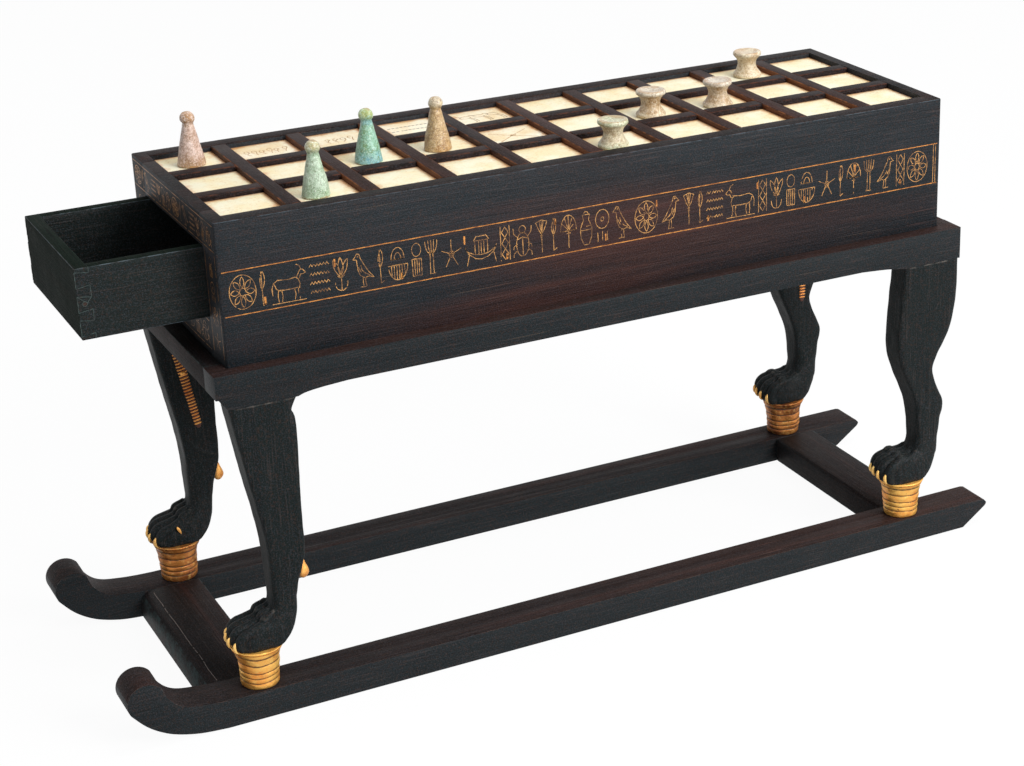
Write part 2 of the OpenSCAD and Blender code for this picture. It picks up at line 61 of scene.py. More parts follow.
MM = 0.001

# Places read from the frame

BOARD_LOW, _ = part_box("side_near")
_, BOARD_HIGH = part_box("side_far")
HEAD_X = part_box("top_rail")[0].x
TAIL_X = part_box("tail_board")[1].x
HEAD_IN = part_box("top_rail")[1].x
TAIL_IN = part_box("tail_board")[0].x
MIDDLE_X = (HEAD_X + TAIL_X) / 2
NEAR_Y = BOARD_LOW.y
FAR_Y = BOARD_HIGH.y
BOARD_TOP = BOARD_HIGH.z


# Camera, at the photograph's place

def make_camera():
    """Angles in radians, picture places in pixels, the camera's place from the middle of the board's top."""
    azimuth, elevation, roll = -0.48689, 0.39502, -0.02045
    focal_px, middle_px = 2224.7, (655.0, 391.0)
    place = Vector((-544.3, -1156.9, 360.4)) * MM
    width_px, height_px, sensor = 1024, 766, 36.0
    back = Vector((math.sin(azimuth) * math.cos(elevation),
                   -math.cos(azimuth) * math.cos(elevation), math.sin(elevation)))
    level = Vector((math.cos(azimuth), math.sin(azimuth), 0))
    upright = back.cross(level)
    right = math.cos(roll) * level + math.sin(roll) * upright
    up = -math.sin(roll) * level + math.cos(roll) * upright
    data = bpy.data.cameras.new("camera")
    data.sensor_width = sensor
    data.lens = focal_px / width_px * sensor
    data.shift_x = (width_px / 2 - middle_px[0]) / width_px
    data.shift_y = (middle_px[1] - height_px / 2) / width_px
    data.clip_start, data.clip_end = 0.05, 50
    camera = bpy.data.objects.new("camera", data)
    bpy.context.scene.collection.objects.link(camera)
    turn = Matrix((right, up, back)).transposed().to_4x4()
    camera.matrix_world = Matrix.Translation(place + Vector((MIDDLE_X, 0, BOARD_TOP))) @ turn
    bpy.context.scene.camera = camera


make_camera()


# Shader expressions

class Flow:
    """A socket in a material's node tree. Arithmetic on it adds Math nodes."""

    def __init__(self, shader, socket):
        self.shader = shader
        self.socket = socket

    def _math(self, operation, *terms):
        return self.shader.node("ShaderNodeMath", {"operation": operation}, dict(enumerate(terms)))

    def __add__(self, other):
        return self._math("ADD", self, other)

    def __radd__(self, other):
        return self._math("ADD", other, self)

    def __sub__(self, other):
        return self._math("SUBTRACT", self, other)

    def __rsub__(self, other):
        return self._math("SUBTRACT", other, self)

    def __mul__(self, other):
        return self._math("MULTIPLY", self, other)

    def __rmul__(self, other):
        return self._math("MULTIPLY", other, self)

    def absolute(self):
        return self._math("ABSOLUTE", self)

    def above(self, edge, soft):
        """0 under edge - soft, 1 over edge + soft, smooth between."""
        return self.shader.node("ShaderNodeMapRange", {"interpolation_type": "SMOOTHSTEP"},
                                {"Value": self, "From Min": edge - soft, "From Max": edge + soft})


class Shader:
    """A material being made of nodes, ending in one Principled shader."""

    def __init__(self, name):
        self.material = bpy.data.materials.new(name)
        self.material.use_nodes = True
        self.tree = self.material.node_tree
        self.tree.nodes.clear()
        self.out = self.tree.nodes.new("ShaderNodeOutputMaterial")
        self.skin = self.tree.nodes.new("ShaderNodeBsdfPrincipled")
        self.tree.links.new(self.skin.outputs[0], self.out.inputs["Surface"])

    def feed(self, socket, value):
        """Links a Flow to a socket, or sets the socket's value."""
        if isinstance(value, Flow):
            self.tree.links.new(value.socket, socket)
        elif isinstance(value, (tuple, list)) and len(value) == 3 and socket.type == "RGBA":
            socket.default_value = (*value, 1)
        else:
            socket.default_value = value

    def node(self, kind, settings=None, values=None, output=0):
        """Adds a node with its settings and fed sockets, and gives one of its outputs."""
        made = self.tree.nodes.new(kind)
        for key, value in (settings or {}).items():
            setattr(made, key, value)
        for key, value in (values or {}).items():
            self.feed(made.inputs[key], value)
        return Flow(self, made.outputs[output])

    def place(self):
        return self.node("ShaderNodeTexCoord", output="Object")

    def stretched(self, scale):
        """Object coordinates in metres, scaled by axis."""
        return self.mapped(self.place(), scale)

    def mapped(self, vector, scale):
        return self.node("ShaderNodeMapping", values={"Vector": vector, "Scale": scale})

    def noise(self, vector, scale, detail=4, roughness=0.5, warp=0):
        return self.node("ShaderNodeTexNoise", values={"Vector": vector, "Scale": scale, "Detail": detail,
                                                       "Roughness": roughness, "Distortion": warp})

    def attribute(self, name):
        return self.node("ShaderNodeAttribute", {"attribute_name": name}, output="Fac")

    def mix(self, share, a, b):
        """Colour a, and colour b by its share, each a Flow or a colour as it looks, 0 to 255."""
        first, second = (colour if isinstance(colour, Flow) else shade(*colour) for colour in (a, b))
        return self.node("ShaderNodeMix", {"data_type": "RGBA"}, {0: share, 6: first, 7: second}, 2)

    def bump(self, height, depth, under=None):
        values = {"Height": height, "Distance": depth, "Strength": 1.0}
        if under is not None:
            values["Normal"] = under
        return self.node("ShaderNodeBump", values=values)

    def finish(self, **values):
        """Feeds the Principled shader's sockets, their names written with underscores."""
        for key, value in values.items():
            self.feed(self.skin.inputs[key.replace("_", " ")], value)
        return self.material


def shade(red, green, blue):
    """A colour as it looks, 0 to 255, as the shader's linear one."""
    return tuple(c / 255 / 12.92 if c <= 10 else ((c / 255 + 0.055) / 1.055) ** 2.4
                 for c in (red, green, blue))


# How the grain is drawn out along each axis
ALONG = {"x": (1, 9, 9), "y": (9, 1, 9), "z": (9, 9, 1)}
# The brown heart of a board: its place along the board, its height, and how fast it fades both ways
HEART_X, HEART_Z, FADE_X, FADE_Z = 0.03, 0.24, 7, 9


def ebony(name, grain="x", cool=(25, 29, 32), warm=(44, 27, 24), warmth=0.45, worn=(92, 104, 112),
          heart=0.0, streaks=1.0, gloss=0.20, dust=1.0):
    """Oiled ebony: blue-black and red-brown zones, long pale streaks, short pores, edges worn pale, on some
    woods partly a painted highlight.
    With a heart, the brown gathers in the lower middle of the board."""
    s = Shader(name)

    def drawn_out(across, along=1):
        """Coordinates drawn out along the grain, closer by these factors across it and along it."""
        return s.stretched(tuple(c * across if c > 1 else c * along for c in ALONG[grain]))

    # Zones of cool and warm black
    zone = s.noise(drawn_out(1), 1.6, 3, 0.55)
    if heart:
        x = s.node("ShaderNodeSeparateXYZ", values={0: s.place()})
        z = s.node("ShaderNodeSeparateXYZ", values={0: s.place()}, output=2)
        zone = zone + heart * (0.9 - (x - HEART_X).absolute() * FADE_X) - heart * (z - HEART_Z) * FADE_Z
    zone = zone.above(1 - warmth - 0.03, 0.14)
    base = s.mix(zone, cool, warm)
    # Bands, streaks and pores along the grain
    fine = drawn_out(4)
    band = s.noise(fine, 3.2, 5, 0.62, 0.6)
    base = s.mix(band.above(0.60, 0.12) * (zone * 0.5 + 0.1) * streaks, base, (84, 50, 42))
    base = s.mix((1 - band).above(0.62, 0.12) * 0.5, base, (12, 14, 16))
    streak = s.noise(fine, 9, 3, 0.7).above(0.71, 0.05)
    base = s.mix(streak * (zone * 0.8 + 0.2) * 0.8 * streaks, base, (142, 100, 88))
    pore = s.noise(drawn_out(22, 5), 6, 2, 0.5)
    base = s.mix(pore.above(0.62, 0.08) * 0.6, base, (8, 9, 10))
    base = s.mix((1 - pore).above(0.64, 0.07) * 0.22 * dust, base, (92, 78, 74))
    # Dust and specks of dirt
    speck = s.noise(s.place(), 1400, 2, 0.7)
    base = s.mix(speck.above(0.58, 0.10) * 0.20 * dust, base, (96, 98, 110))
    base = s.mix((1 - speck).above(0.56, 0.10) * 0.45, base, (8, 9, 9))
    tint = s.noise(s.place(), 900, 2, 0.7)
    base = s.mix(tint.above(0.60, 0.08) * 0.20 * dust, base, (92, 60, 44))
    # Scratches, and rubbed edges in the worn colour, which on the box's and the crossbars' wood is partly a
    # painted highlight
    scratch = s.noise(drawn_out(30, 2), 5, 1, 0.4).above(0.80, 0.02) * band.above(0.45, 0.1)
    base = s.mix(scratch * 0.5 * streaks, base, (150, 128, 108))
    rub = s.attribute("worn") * s.noise(s.place(), 150, 5, 0.7).above(0.52, 0.12)
    base = s.mix(rub * 0.7, base, worn)
    grain_bump = s.bump(pore * -0.6 + band * 0.5 + speck * 0.25, 0.0004)
    soft_bump = s.bump(s.noise(s.place(), 60, 3, 0.5), 0.0005, grain_bump)
    dull = s.noise(s.place(), 24, 4, 0.6) * 0.24 + 0.44 + rub * 0.1
    return s.finish(Base_Color=base, Roughness=dull, Normal=soft_bump, IOR=1.42, Specular_IOR_Level=gloss)


def gilding(name, bright=(222, 164, 74), deep=(150, 88, 34), grime=(64, 32, 16), rough=0.34):
    """Gold leaf over wood: bright on the crests, red-brown in the grooves, rubbed through in spots."""
    s = Shader(name)
    crest = s.attribute("crest")
    patch = s.noise(s.place(), 90, 5, 0.6)
    fine = s.noise(s.place(), 420, 4, 0.65)
    gold = s.mix(patch.above(0.5, 0.22), deep, bright)
    gold = s.mix(fine.above(0.60, 0.12) * 0.5, gold, (246, 204, 118))
    low = (1 - crest) * 0.95 + (fine - 0.5) * 0.5
    gold = s.mix(low.above(0.55, 0.28), gold, grime)
    rubbed = s.noise(s.place(), 240, 3, 0.7).above(0.70, 0.04)
    gold = s.mix(rubbed * 0.6, gold, (96, 48, 26))
    dents = s.bump(patch * 0.8 + fine * 0.3, 0.0006)
    metal = 0.6 - low.above(0.62, 0.3) * 0.5
    return s.finish(Base_Color=gold, Metallic=metal, Roughness=rough + fine * 0.22, Normal=dents)


def gold_paint(name, colour=(214, 150, 78), dark=(128, 74, 38)):
    """Gold rubbed into engraved lines, thin in places."""
    s = Shader(name)
    patch = s.noise(s.place(), 160, 4, 0.7)
    fine = s.noise(s.place(), 1400, 3, 0.6)
    paint = s.mix(patch.above(0.49, 0.10) * 0.75 + fine.above(0.5, 0.2) * 0.25, dark, colour)
    return s.finish(Base_Color=paint, Metallic=0.35, Roughness=0.45, Normal=s.bump(fine, 0.0002))


def ivory(name, pale=(246, 240, 211), cream=(244, 226, 180), stain=(214, 138, 60), age=0.65):
    """Ivory plates: cream clouds, fine lines and specks, stained towards their edges and in spots."""
    s = Shader(name)
    number = s.attribute("number")
    shift = s.node("ShaderNodeCombineXYZ", values={"X": number * 3.1, "Y": number * 1.7})
    shifted = s.node("ShaderNodeVectorMath", {"operation": "ADD"}, {0: s.place(), 1: shift})
    cloud = s.noise(shifted, 46, 4, 0.6)
    tone = s.mix(cloud.above(0.52, 0.16), pale, cream)
    lines = s.noise(s.mapped(shifted, (60, 700, 60)), 1, 3, 0.6)
    tone = s.mix(lines.above(0.60, 0.1) * 0.3, tone, (234, 210, 160))
    speck = s.noise(shifted, 700, 3, 0.75)
    tone = s.mix(speck.above(0.60, 0.06) * cloud.above(0.40, 0.2) * 0.55, tone, (214, 178, 118))
    rim = s.attribute("rim")
    edge = (rim + (s.noise(shifted, 120, 4, 0.7) - 0.5) * 0.8).above(0.86, 0.16)
    tone = s.mix(edge * age, tone, stain)
    spot = s.noise(shifted, 210, 4, 0.75).above(0.68, 0.04) * s.noise(shifted, 34, 2, 0.5).above(0.50, 0.1)
    tone = s.mix(spot * age * 0.9, tone, (168, 112, 60))
    seam = s.attribute("worn")
    tone = s.mix(seam * 0.7, tone, (150, 92, 46))
    skin = s.bump(lines * 0.5 + cloud, 0.00025)
    return s.finish(Base_Color=tone, Roughness=cloud * 0.15 + 0.36, Normal=skin, Subsurface_Weight=0.08,
                    Subsurface_Radius=(0.004, 0.003, 0.002))


def ink(name, colour, faded=(206, 168, 112)):
    """A thin line of paint, faded in patches."""
    s = Shader(name)
    patch = s.noise(s.place(), 700, 3, 0.7)
    tone = s.mix(patch.above(0.5, 0.2), colour, faded)
    return s.finish(Base_Color=tone, Roughness=0.6)


def faience(name, foot, body, head, spot, pale, neck=0.0):
    """Old glazed ware: colour running from foot to head, mottled and pitted, edges worn to the paste."""
    s = Shader(name)
    height = s.attribute("height")
    wave = (s.noise(s.place(), 190, 3, 0.6) - 0.5) * 0.35
    tone = s.mix((height + wave).above(0.16, 0.16), foot, body)
    collar = 1 - (height + wave * 0.2 - 0.76).absolute().above(0.045, 0.03)
    tone = s.mix(collar * neck, tone, foot)
    tone = s.mix((height + wave * 0.5).above(0.83, 0.06), tone, head)
    mottle = s.noise(s.place(), 620, 5, 0.8)
    grains = s.noise(s.place(), 1500, 3, 0.8)
    cloud = s.noise(s.place(), 150, 3, 0.6)
    tone = s.mix(cloud.above(0.54, 0.14) * 0.5, tone, pale)
    tone = s.mix((1 - cloud).above(0.58, 0.10) * 0.45, tone, spot)
    tone = s.mix(mottle.above(0.56, 0.05) * 0.7, tone, pale)
    tone = s.mix((1 - mottle).above(0.56, 0.05) * 0.7, tone, spot)
    tone = s.mix((1 - grains).above(0.58, 0.05) * 0.55, tone, (112, 84, 56))
    tone = s.mix(grains.above(0.60, 0.05) * 0.55, tone, (250, 246, 232))
    rim = (height + wave * 0.6 - 0.5).absolute().above(0.485, 0.012)
    tone = s.mix(rim * 0.55, tone, (176, 130, 74))
    pit = s.noise(s.place(), 1100, 2, 0.5).above(0.72, 0.03)
    tone = s.mix(pit * 0.6, tone, (84, 62, 40))
    dull = mottle * 0.4 + 0.14
    rough_skin = s.bump(mottle * 0.6 + grains * 0.3 - pit, 0.0006)
    return s.finish(Base_Color=tone, Roughness=dull, Normal=rough_skin, Coat_Weight=0.3, Coat_Roughness=0.2)


# The box's wood. Its pale bluish worn colour on rounded edges is partly a painted highlight, in full on the
# corner posts
EBONY_X = ebony("ebony_along", cool=(24, 32, 36), warm=(56, 34, 30), warmth=0.32, worn=(104, 120, 130),
                heart=0.22)
# The crossbars' and end rails' wood. Its greenish worn colour on rounded edges is partly a painted highlight,
# and on the front of the front crossbar a painted highlight band
EBONY_Y = ebony("ebony_across", "y", (22, 25, 24), (36, 25, 22), 0.45, (74, 90, 90), streaks=0.5, gloss=0.06)
EBONY_Z = ebony("ebony_upright", "z", (16, 26, 25), (26, 25, 24), 0.3, (128, 120, 112), streaks=0.25,
                gloss=0.15)
EBONY_DRAWER = ebony("ebony_drawer", "x", (15, 27, 25), (26, 25, 23), 0.3, streaks=0.3)
# A darker, duller copy for the drawer's faces turned to the head and upwards: painted shade
EBONY_DRAWER_SHADE = ebony("ebony_drawer_painted_shade", "y", (18, 29, 23), (20, 24, 19), 0.4, (50, 60, 54), streaks=0.2,
                    gloss=0.01, dust=0.25)
EBONY_STRIP_X = ebony("ebony_strip_along", "x", (24, 19, 18), (42, 26, 21), 0.5, (92, 56, 42), streaks=0.6,
                      gloss=0.09)
EBONY_STRIP_Y = ebony("ebony_strip_across", "y", (26, 20, 18), (46, 28, 22), 0.55, (112, 70, 50), streaks=0.7,
                      gloss=0.09)
EBONY_STAND = ebony("ebony_stand", "x", (23, 31, 33), (38, 31, 30), 0.3, (144, 138, 134), streaks=0.5)
EBONY_TREAD = ebony("ebony_runner_top", "x", (32, 28, 27), (48, 32, 27), 0.5, (120, 92, 78), streaks=0.6,
                    gloss=0.06)
# An orange-brown copy for the squares' walls turned to the head: a painted warm reflection of the ivory
EBONY_WALL_REFLECTION = ebony("ebony_square_wall_painted_reflection", "y", (62, 38, 26), (124, 74, 42), 0.5, (176, 112, 66), streaks=0.6)
# A nearly black copy for the box's top border, the wall inside its far side and the far runner's and rail's
# upward faces: painted shade
EBONY_PAINTED_SHADE = ebony("ebony_painted_shade", "x", (14, 17, 17), (30, 20, 17), 0.45, (84, 62, 52), streaks=0.5,
                     gloss=0.08)
GILT = gilding("gilded_drum", (255, 202, 104), (232, 142, 58), (66, 28, 12), 0.34)
CLAW_GOLD = gilding("gilded_claw", (255, 214, 132), (255, 190, 100), (170, 84, 40), 0.42)
GILT_SMALL = gilding("gilded_trim", (244, 180, 96), (206, 118, 52), (74, 34, 18), 0.42)
GOLD_LINE = gold_paint("gold_line", (226, 152, 74), (140, 80, 38))
GOLD_FIGURE = gold_paint("gold_figure", (222, 164, 96), (92, 62, 44))
GOLD_DIM = gold_paint("gold_line_dim", (196, 140, 84), (58, 40, 28))
# A darker copy of the drum gilding for the far drums: painted shade
GILT_FAR_SHADED = gilding("gilded_drum_painted_shade", (216, 138, 66), (116, 58, 32), (38, 18, 12), 0.36)
INK = ink("marks_brown", (112, 72, 44))
INK_DARK = ink("marks_dark", (62, 46, 42), (112, 84, 66))
WORN_LINE = ink("worn_line", (132, 122, 116), (84, 74, 68))
JOINT_LINE = ink("joint_line", (66, 84, 80), (24, 30, 30))
INK_FAINT = ink("marks_faint", (186, 134, 88))
INK_TAN = ink("marks_tan", (150, 104, 54))
IVORY = ivory("ivory_plates")
IVORY_MARKED = ivory("ivory_marked", (252, 242, 216), (240, 216, 170), (200, 132, 62), 0.8)
PEG = ebony("peg_wood", "x", (38, 36, 32), (52, 40, 32), 0.5, (96, 84, 70))


# Mesh helpers

def link(name, mesh, body, slot, material, *replaced):
    """Puts a mesh into the scene, on its body, in the place of the CAD nodes it replaces. Its slot is not
    used.
    """
    piece = bpy.data.objects.new(name, mesh)
    bpy.context.scene.collection.objects.link(piece)
    if not mesh.materials:
        mesh.materials.append(material)
    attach(piece, body)
    if replaced:
        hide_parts(*replaced)


def mark(mesh, name, values):
    """Stores one number a vertex, which the materials read."""
    layer = mesh.attributes.new(name, "FLOAT", "POINT")
    layer.data.foreach_set("value", np.asarray(values, np.float32))


def smooth_faces(mesh, sharp_degrees):
    """Shades a mesh smooth, but for edges sharper than this."""
    mesh.polygons.foreach_set("use_smooth", [True] * len(mesh.polygons))
    bm = bmesh.new()
    bm.from_mesh(mesh)
    limit = math.radians(sharp_degrees)
    for edge in bm.edges:
        edge.smooth = len(edge.link_faces) == 2 and edge.calc_face_angle(0) < limit
    bm.to_mesh(mesh)
    bm.free()


# Corners of the CAD triangles closer than this are one, and edges closer than this to a place lie at it
WELD = 2e-6
NEAR_ENOUGH = 0.1 * MM


def cleaned(node):
    """A copy of a CAD node's surface, its triangles joined back into flat faces."""
    bm = bmesh.new()
    bm.from_mesh(nodes[node].data)
    bmesh.ops.remove_doubles(bm, verts=bm.verts, dist=WELD)
    bmesh.ops.dissolve_limit(bm, angle_limit=math.radians(1), verts=bm.verts, edges=bm.edges)
    return bm


def rounded(bm, width_mm, steps, wanted):
    """Rounds the sharp outer edges that are wanted and gives back the new faces."""
    sharp = math.radians(35)
    edges = [e for e in bm.edges if len(e.link_faces) == 2 and e.is_convex
             and e.calc_face_angle(0) > sharp and wanted(e)]
    if not edges:
        return []
    made = bmesh.ops.bevel(bm, geom=edges, offset=width_mm * MM, offset_type="OFFSET", segments=steps,
                           profile=0.5, affect="EDGES", clamp_overlap=True)
    return made["faces"]


def middle(edge):
    """The middle of an edge."""
    return (edge.verts[0].co + edge.verts[1].co) / 2


def is_corner_post(edge):
    """The upright edges at the four outer corners of the box."""
    at = middle(edge)
    upright = abs(edge.verts[0].co.z - edge.verts[1].co.z) > 5 * MM
    at_end = min(abs(at.x - HEAD_X), abs(at.x - TAIL_X)) < NEAR_ENOUGH
    at_side = min(abs(at.y - NEAR_Y), abs(at.y - FAR_Y)) < NEAR_ENOUGH
    return upright and at_end and at_side


def is_open_edge(edge):
    """Any edge but those of the glued joints between the box's sides and ends."""
    at = middle(edge)
    return min(abs(at.x - HEAD_IN), abs(at.x - TAIL_IN)) > NEAR_ENOUGH


def is_drawer_rim(edge):
    """The edges along the top and the bottom of the drawer, clear of its dovetails."""
    ends = [v.co.z for v in edge.verts]
    low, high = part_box("drawer_front")
    level = max(ends) - min(ends) < NEAR_ENOUGH
    return level and min(abs(ends[0] - low.z), abs(ends[0] - high.z)) < NEAR_ENOUGH


def is_any_edge(edge):
    return True


# What the upward faces of the long members are finished with: a brown, less glossy copy near, and a nearly
# black copy far, which is painted shade
UPWARD_TONE_AND_SHADE = {"runner_near": EBONY_TREAD, "rail_near": EBONY_TREAD, "runner_far": EBONY_PAINTED_SHADE,
          "rail_far": EBONY_PAINTED_SHADE}
# The rounding of the box's outer corners, and how far down the wall inside its far side is painted dark as
# shade, in mm
CORNER_MM = 1.2
WALL_MM = 8
# How strongly rounded edges take their wood's worn colour: on the stand, the drawer and the box's corner
# posts, on the box's other edges, and on the front of the front crossbar
# On the box's and the crossbars' wood this colour is partly a painted highlight, and on the front of the
# front crossbar a painted highlight band
EDGE_WEAR_AND_HIGHLIGHT, BOX_EDGE_WEAR_AND_HIGHLIGHT, BAR_PAINTED_HIGHLIGHT = 1, 0.45, 0.8


def second_material(node, body, in_box):
    """The second material of a board's faces turned one way, where it has one of its own: painted shade for
    most boards, a painted reflection for the squares' walls and a brown copy for the near upward faces.
    """
    if in_box:
        return EBONY_PAINTED_SHADE
    if body == "drawer":
        return EBONY_DRAWER_SHADE
    if node == "cross_strips":
        return EBONY_WALL_REFLECTION
    return UPWARD_TONE_AND_SHADE.get(node)


def takes_second(face, node, body, in_box):
    """Whether a face shows the second material: painted shade on the box's top border, the wall inside its
    far side, the drawer's faces turned to the head and upwards and the far long members' upward faces, a
    painted reflection on the squares' walls turned to the head, and a brown copy on the near long members'
    upward faces."""
    normal, at = face.normal, face.calc_center_median()
    if in_box:
        on_top = normal.z > 0.9 and at.z > BOARD_TOP - MM
        far_wall = normal.y < -0.9 and at.y > 0 and at.z > BOARD_TOP - WALL_MM * MM
        return on_top or far_wall
    if body == "drawer":
        return normal.x < -0.9 or normal.z > 0.5
    if node == "cross_strips":
        return normal.x < -0.9
    return node in UPWARD_TONE_AND_SHADE and normal.z > 0.3


def softened(node, round_mm, material, slot, body):
    """Stands for a CAD board: the same board with its edges rounded and rubbed, on some woods partly a
    painted highlight, and its faces turned one way in its second material.
    """
    bm = cleaned(node)
    in_box = body == "box" and node not in ("long_strips", "cross_strips")
    posts = set(rounded(bm, CORNER_MM, 3, is_corner_post)) if in_box else set()
    if body == "drawer":
        wanted = is_drawer_rim
    else:
        wanted = is_open_edge if in_box else is_any_edge
    made = rounded(bm, round_mm, 2, wanted)
    bm.faces.index_update()
    worn = np.zeros(len(bm.faces), np.float32)
    # Corner posts, and edges off the box, take the worn colour in full, the box's other edges less; on the
    # box's wood it is partly a painted highlight
    for face in posts | set(made):
        if face.is_valid:
            worn[face.index] = EDGE_WEAR_AND_HIGHLIGHT if face in posts or not in_box else BOX_EDGE_WEAR_AND_HIGHLIGHT
    for face in bm.faces:
        face.material_index = int(takes_second(face, node, body, in_box))
        # The rounded front of the front crossbar takes the greenish worn colour, a painted highlight band
        if node == "crossbar_front" and face.normal.x < -0.72:
            worn[face.index] = BAR_PAINTED_HIGHLIGHT
    mesh = bpy.data.meshes.new(node + "_finished")
    bm.to_mesh(mesh)
    bm.free()
    mesh.attributes.new("worn", "FLOAT", "FACE").data.foreach_set("value", worn)
    smooth_faces(mesh, 32)
    mesh.materials.append(material)
    second = second_material(node, body, in_box)
    if second:
        mesh.materials.append(second)
    link(node + "_finished", mesh, body, slot, material, node)


# For each board the width of its rounding in mm, its wood, its slot and its body
BOARDS = [
    ("runner_near runner_far", 1.1, EBONY_STAND, "ebony", "stand"),
    ("crossbar_front", 0.6, EBONY_Y, "ebony", "stand"),
    ("crossbar_hind", 1.6, EBONY_Y, "ebony", "stand"),
    ("rail_near rail_far", 0.55, EBONY_STAND, "ebony", "stand"),
    ("rail_head rail_tail", 0.5, EBONY_Y, "ebony", "stand"),
    ("side_near side_far tail_board", 0.7, EBONY_X, "ebony", "box"),
    ("top_rail bottom_rail", 0.4, EBONY_X, "ebony", "box"),
    ("stile_near stile_far", 0.6, EBONY_X, "ebony", "box"),
    ("long_strips", 0.6, EBONY_STRIP_X, "strip_ebony", "box"),
    ("cross_strips", 0.6, EBONY_STRIP_Y, "strip_ebony", "box"),
    ("drawer_front drawer_back drawer_side_near drawer_side_far", 0.5, EBONY_DRAWER, "ebony", "drawer"),
]
for names, *finish in BOARDS:
    for board in names.split():
        softened(board, *finish)

# The pieces inside are shown as they are in the CAD model
for node, material in {
    "top_board": EBONY_X, "bottom_board": EBONY_X, "drawer_runners": EBONY_X, "drawer_guides": EBONY_X,
    "drawer_stop": EBONY_Y, "drawer_bottom": EBONY_X, "drawer_pegs": PEG, "corner_dowels": PEG,
    "foot_dowels": PEG,
}.items():
    nodes[node].data.materials.clear()
    nodes[node].data.materials.append(material)


# Ivory squares

PLATE_STEPS = 12
# In mm: how far a plate's edges drop, how far it lies under its CAD plate, and how far it may lean
PLATE_DROP, PLATE_SUNK, PLATE_LEAN = 0.35, 0.05, 0.08
# Where the drop at the edges starts, as a share of the way from the middle
FLAT_SHARE = 0.82


def loose_boxes(node):
    """The two corners of the box round each loose part of a CAD node, in order along the board."""
    bm = bmesh.new()
    bm.from_mesh(nodes[node].data)
    bmesh.ops.remove_doubles(bm, verts=bm.verts, dist=WELD)
    left = set(bm.verts)
    boxes = []
    while left:
        todo, seen = [left.pop()], []
        while todo:
            v = todo.pop()
            seen.append(v.co.copy())
            for e in v.link_edges:
                w = e.other_vert(v)
                if w in left:
                    left.remove(w)
                    todo.append(w)
        boxes.append((Vector(map(min, *seen)), Vector(map(max, *seen))))
    bm.free()
    return sorted(boxes, key=lambda b: (round(b[0].x, 4), round(b[0].y, 4)))


def ivory_plates(node, material, seed):
    """Each plate of a node as a slightly crowned plate with soft edges, lying where the CAD plate lies."""
    boxes = loose_boxes(node)
    chance = random.Random(seed)
    steps = PLATE_STEPS
    verts, faces, rim, number, worn = [], [], [], [], []
    for low, high in boxes:
        start = len(verts)
        lean = [chance.uniform(-PLATE_LEAN, PLATE_LEAN) * MM for _ in range(2)]
        tag = chance.random() * 10
        for j in range(steps + 1):
            for i in range(steps + 1):
                u, v = i / steps, j / steps
                out = max(abs(2 * u - 1), abs(2 * v - 1))
                drop = PLATE_DROP * MM * max(0.0, (out - FLAT_SHARE) / (1 - FLAT_SHARE)) ** 2
                z = high.z - drop - PLATE_SUNK * MM + lean[0] * (u - 0.5) + lean[1] * (v - 0.5)
                verts.append((low.x + (high.x - low.x) * u, low.y + (high.y - low.y) * v, z))
                rim.append(out)
                worn.append(1.0 if out > 0.99 else 0.0)
                number.append(tag)
        row = steps + 1
        for j in range(steps):
            for i in range(steps):
                a = start + j * row + i
                faces.append((a, a + 1, a + row + 1, a + row))
        border = ([start + i for i in range(steps)] + [start + j * row + steps for j in range(steps)]
                  + [start + steps * row + i for i in range(steps, 0, -1)]
                  + [start + j * row for j in range(steps, 0, -1)])
        below = len(verts)
        for b in border:
            x, y, _ = verts[b]
            verts.append((x, y, low.z))
            rim.append(1)
            worn.append(1)
            number.append(tag)
        n = len(border)
        for k in range(n):
            faces.append((border[k], below + k, below + (k + 1) % n, border[(k + 1) % n]))
        faces.append(tuple(below + k for k in range(n))[::-1])
    mesh = bpy.data.meshes.new(node + "_plates")
    mesh.from_pydata(verts, [], faces)
    mark(mesh, "rim", rim)
    mark(mesh, "number", number)
    mark(mesh, "worn", worn)
    smooth_faces(mesh, 50)
    link(node + "_plates", mesh, "box", "ivory", material, node)
    return boxes


ivory_plates("plain_squares", IVORY, 3)
MARKED_BOXES = ivory_plates("marked_squares", IVORY_MARKED, 5)


# Carved legs, in mm from the middle of the drum along the board and from its top upwards

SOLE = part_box("drum_front_near")[1].z
LEG_TALL = 146
# The front and the back outline of a leg, and half its thickness
FRONT_LEG = ([(-12.5, 0), (-15, 4.5), (-14.6, 9.0), (-10, 12.4), (-4, 14.2), (2, 15.6), (7.6, 19.5),
              (9.7, 26), (9.8, 40), (8.6, 58), (5.4, 78), (1, 102), (-6.2, LEG_TALL)],
             [(14.6, 0), (18.2, 4.5), (20.6, 9.5), (22.0, 15.5), (22.7, 21.7), (23.2, 28), (24.4, 36),
              (27.4, 45), (29.4, 55), (30, 83), (30.8, 108), (31.2, 132), (29.1, 138), (30.2, 141),
              (33, LEG_TALL)])
HIND_LEG = ([(-15, 0), (-18, 4.5), (-18.4, 10), (-14.4, 14.4), (-8, 16.2), (-1, 17.0), (4.6, 20), (6.3, 26),
             (6.3, 38), (4.3, 50), (-0.6, 62.5), (-6.4, 75), (-10.4, 88), (-10.9, 101), (-9.2, 124),
             (-7.2, LEG_TALL)],
            [(13.5, 0), (17.4, 5.5), (20.6, 14), (22, 28), (22.5, 39), (24.0, 44.5), (24.0, 50.5),
             (20.6, 58.5), (16.8, 67.5), (15.8, 75), (18.8, 83.5), (24.4, 92.5), (29.6, 105), (32.4, 124),
             (32.4, LEG_TALL)])
LEG_HALVES = [(12.0, 0), (12.8, 4.5), (12.5, 10), (11.2, 15), (9.6, 21), (8.7, 28), (8.4, 44), (9, 64),
              (9, LEG_TALL)]
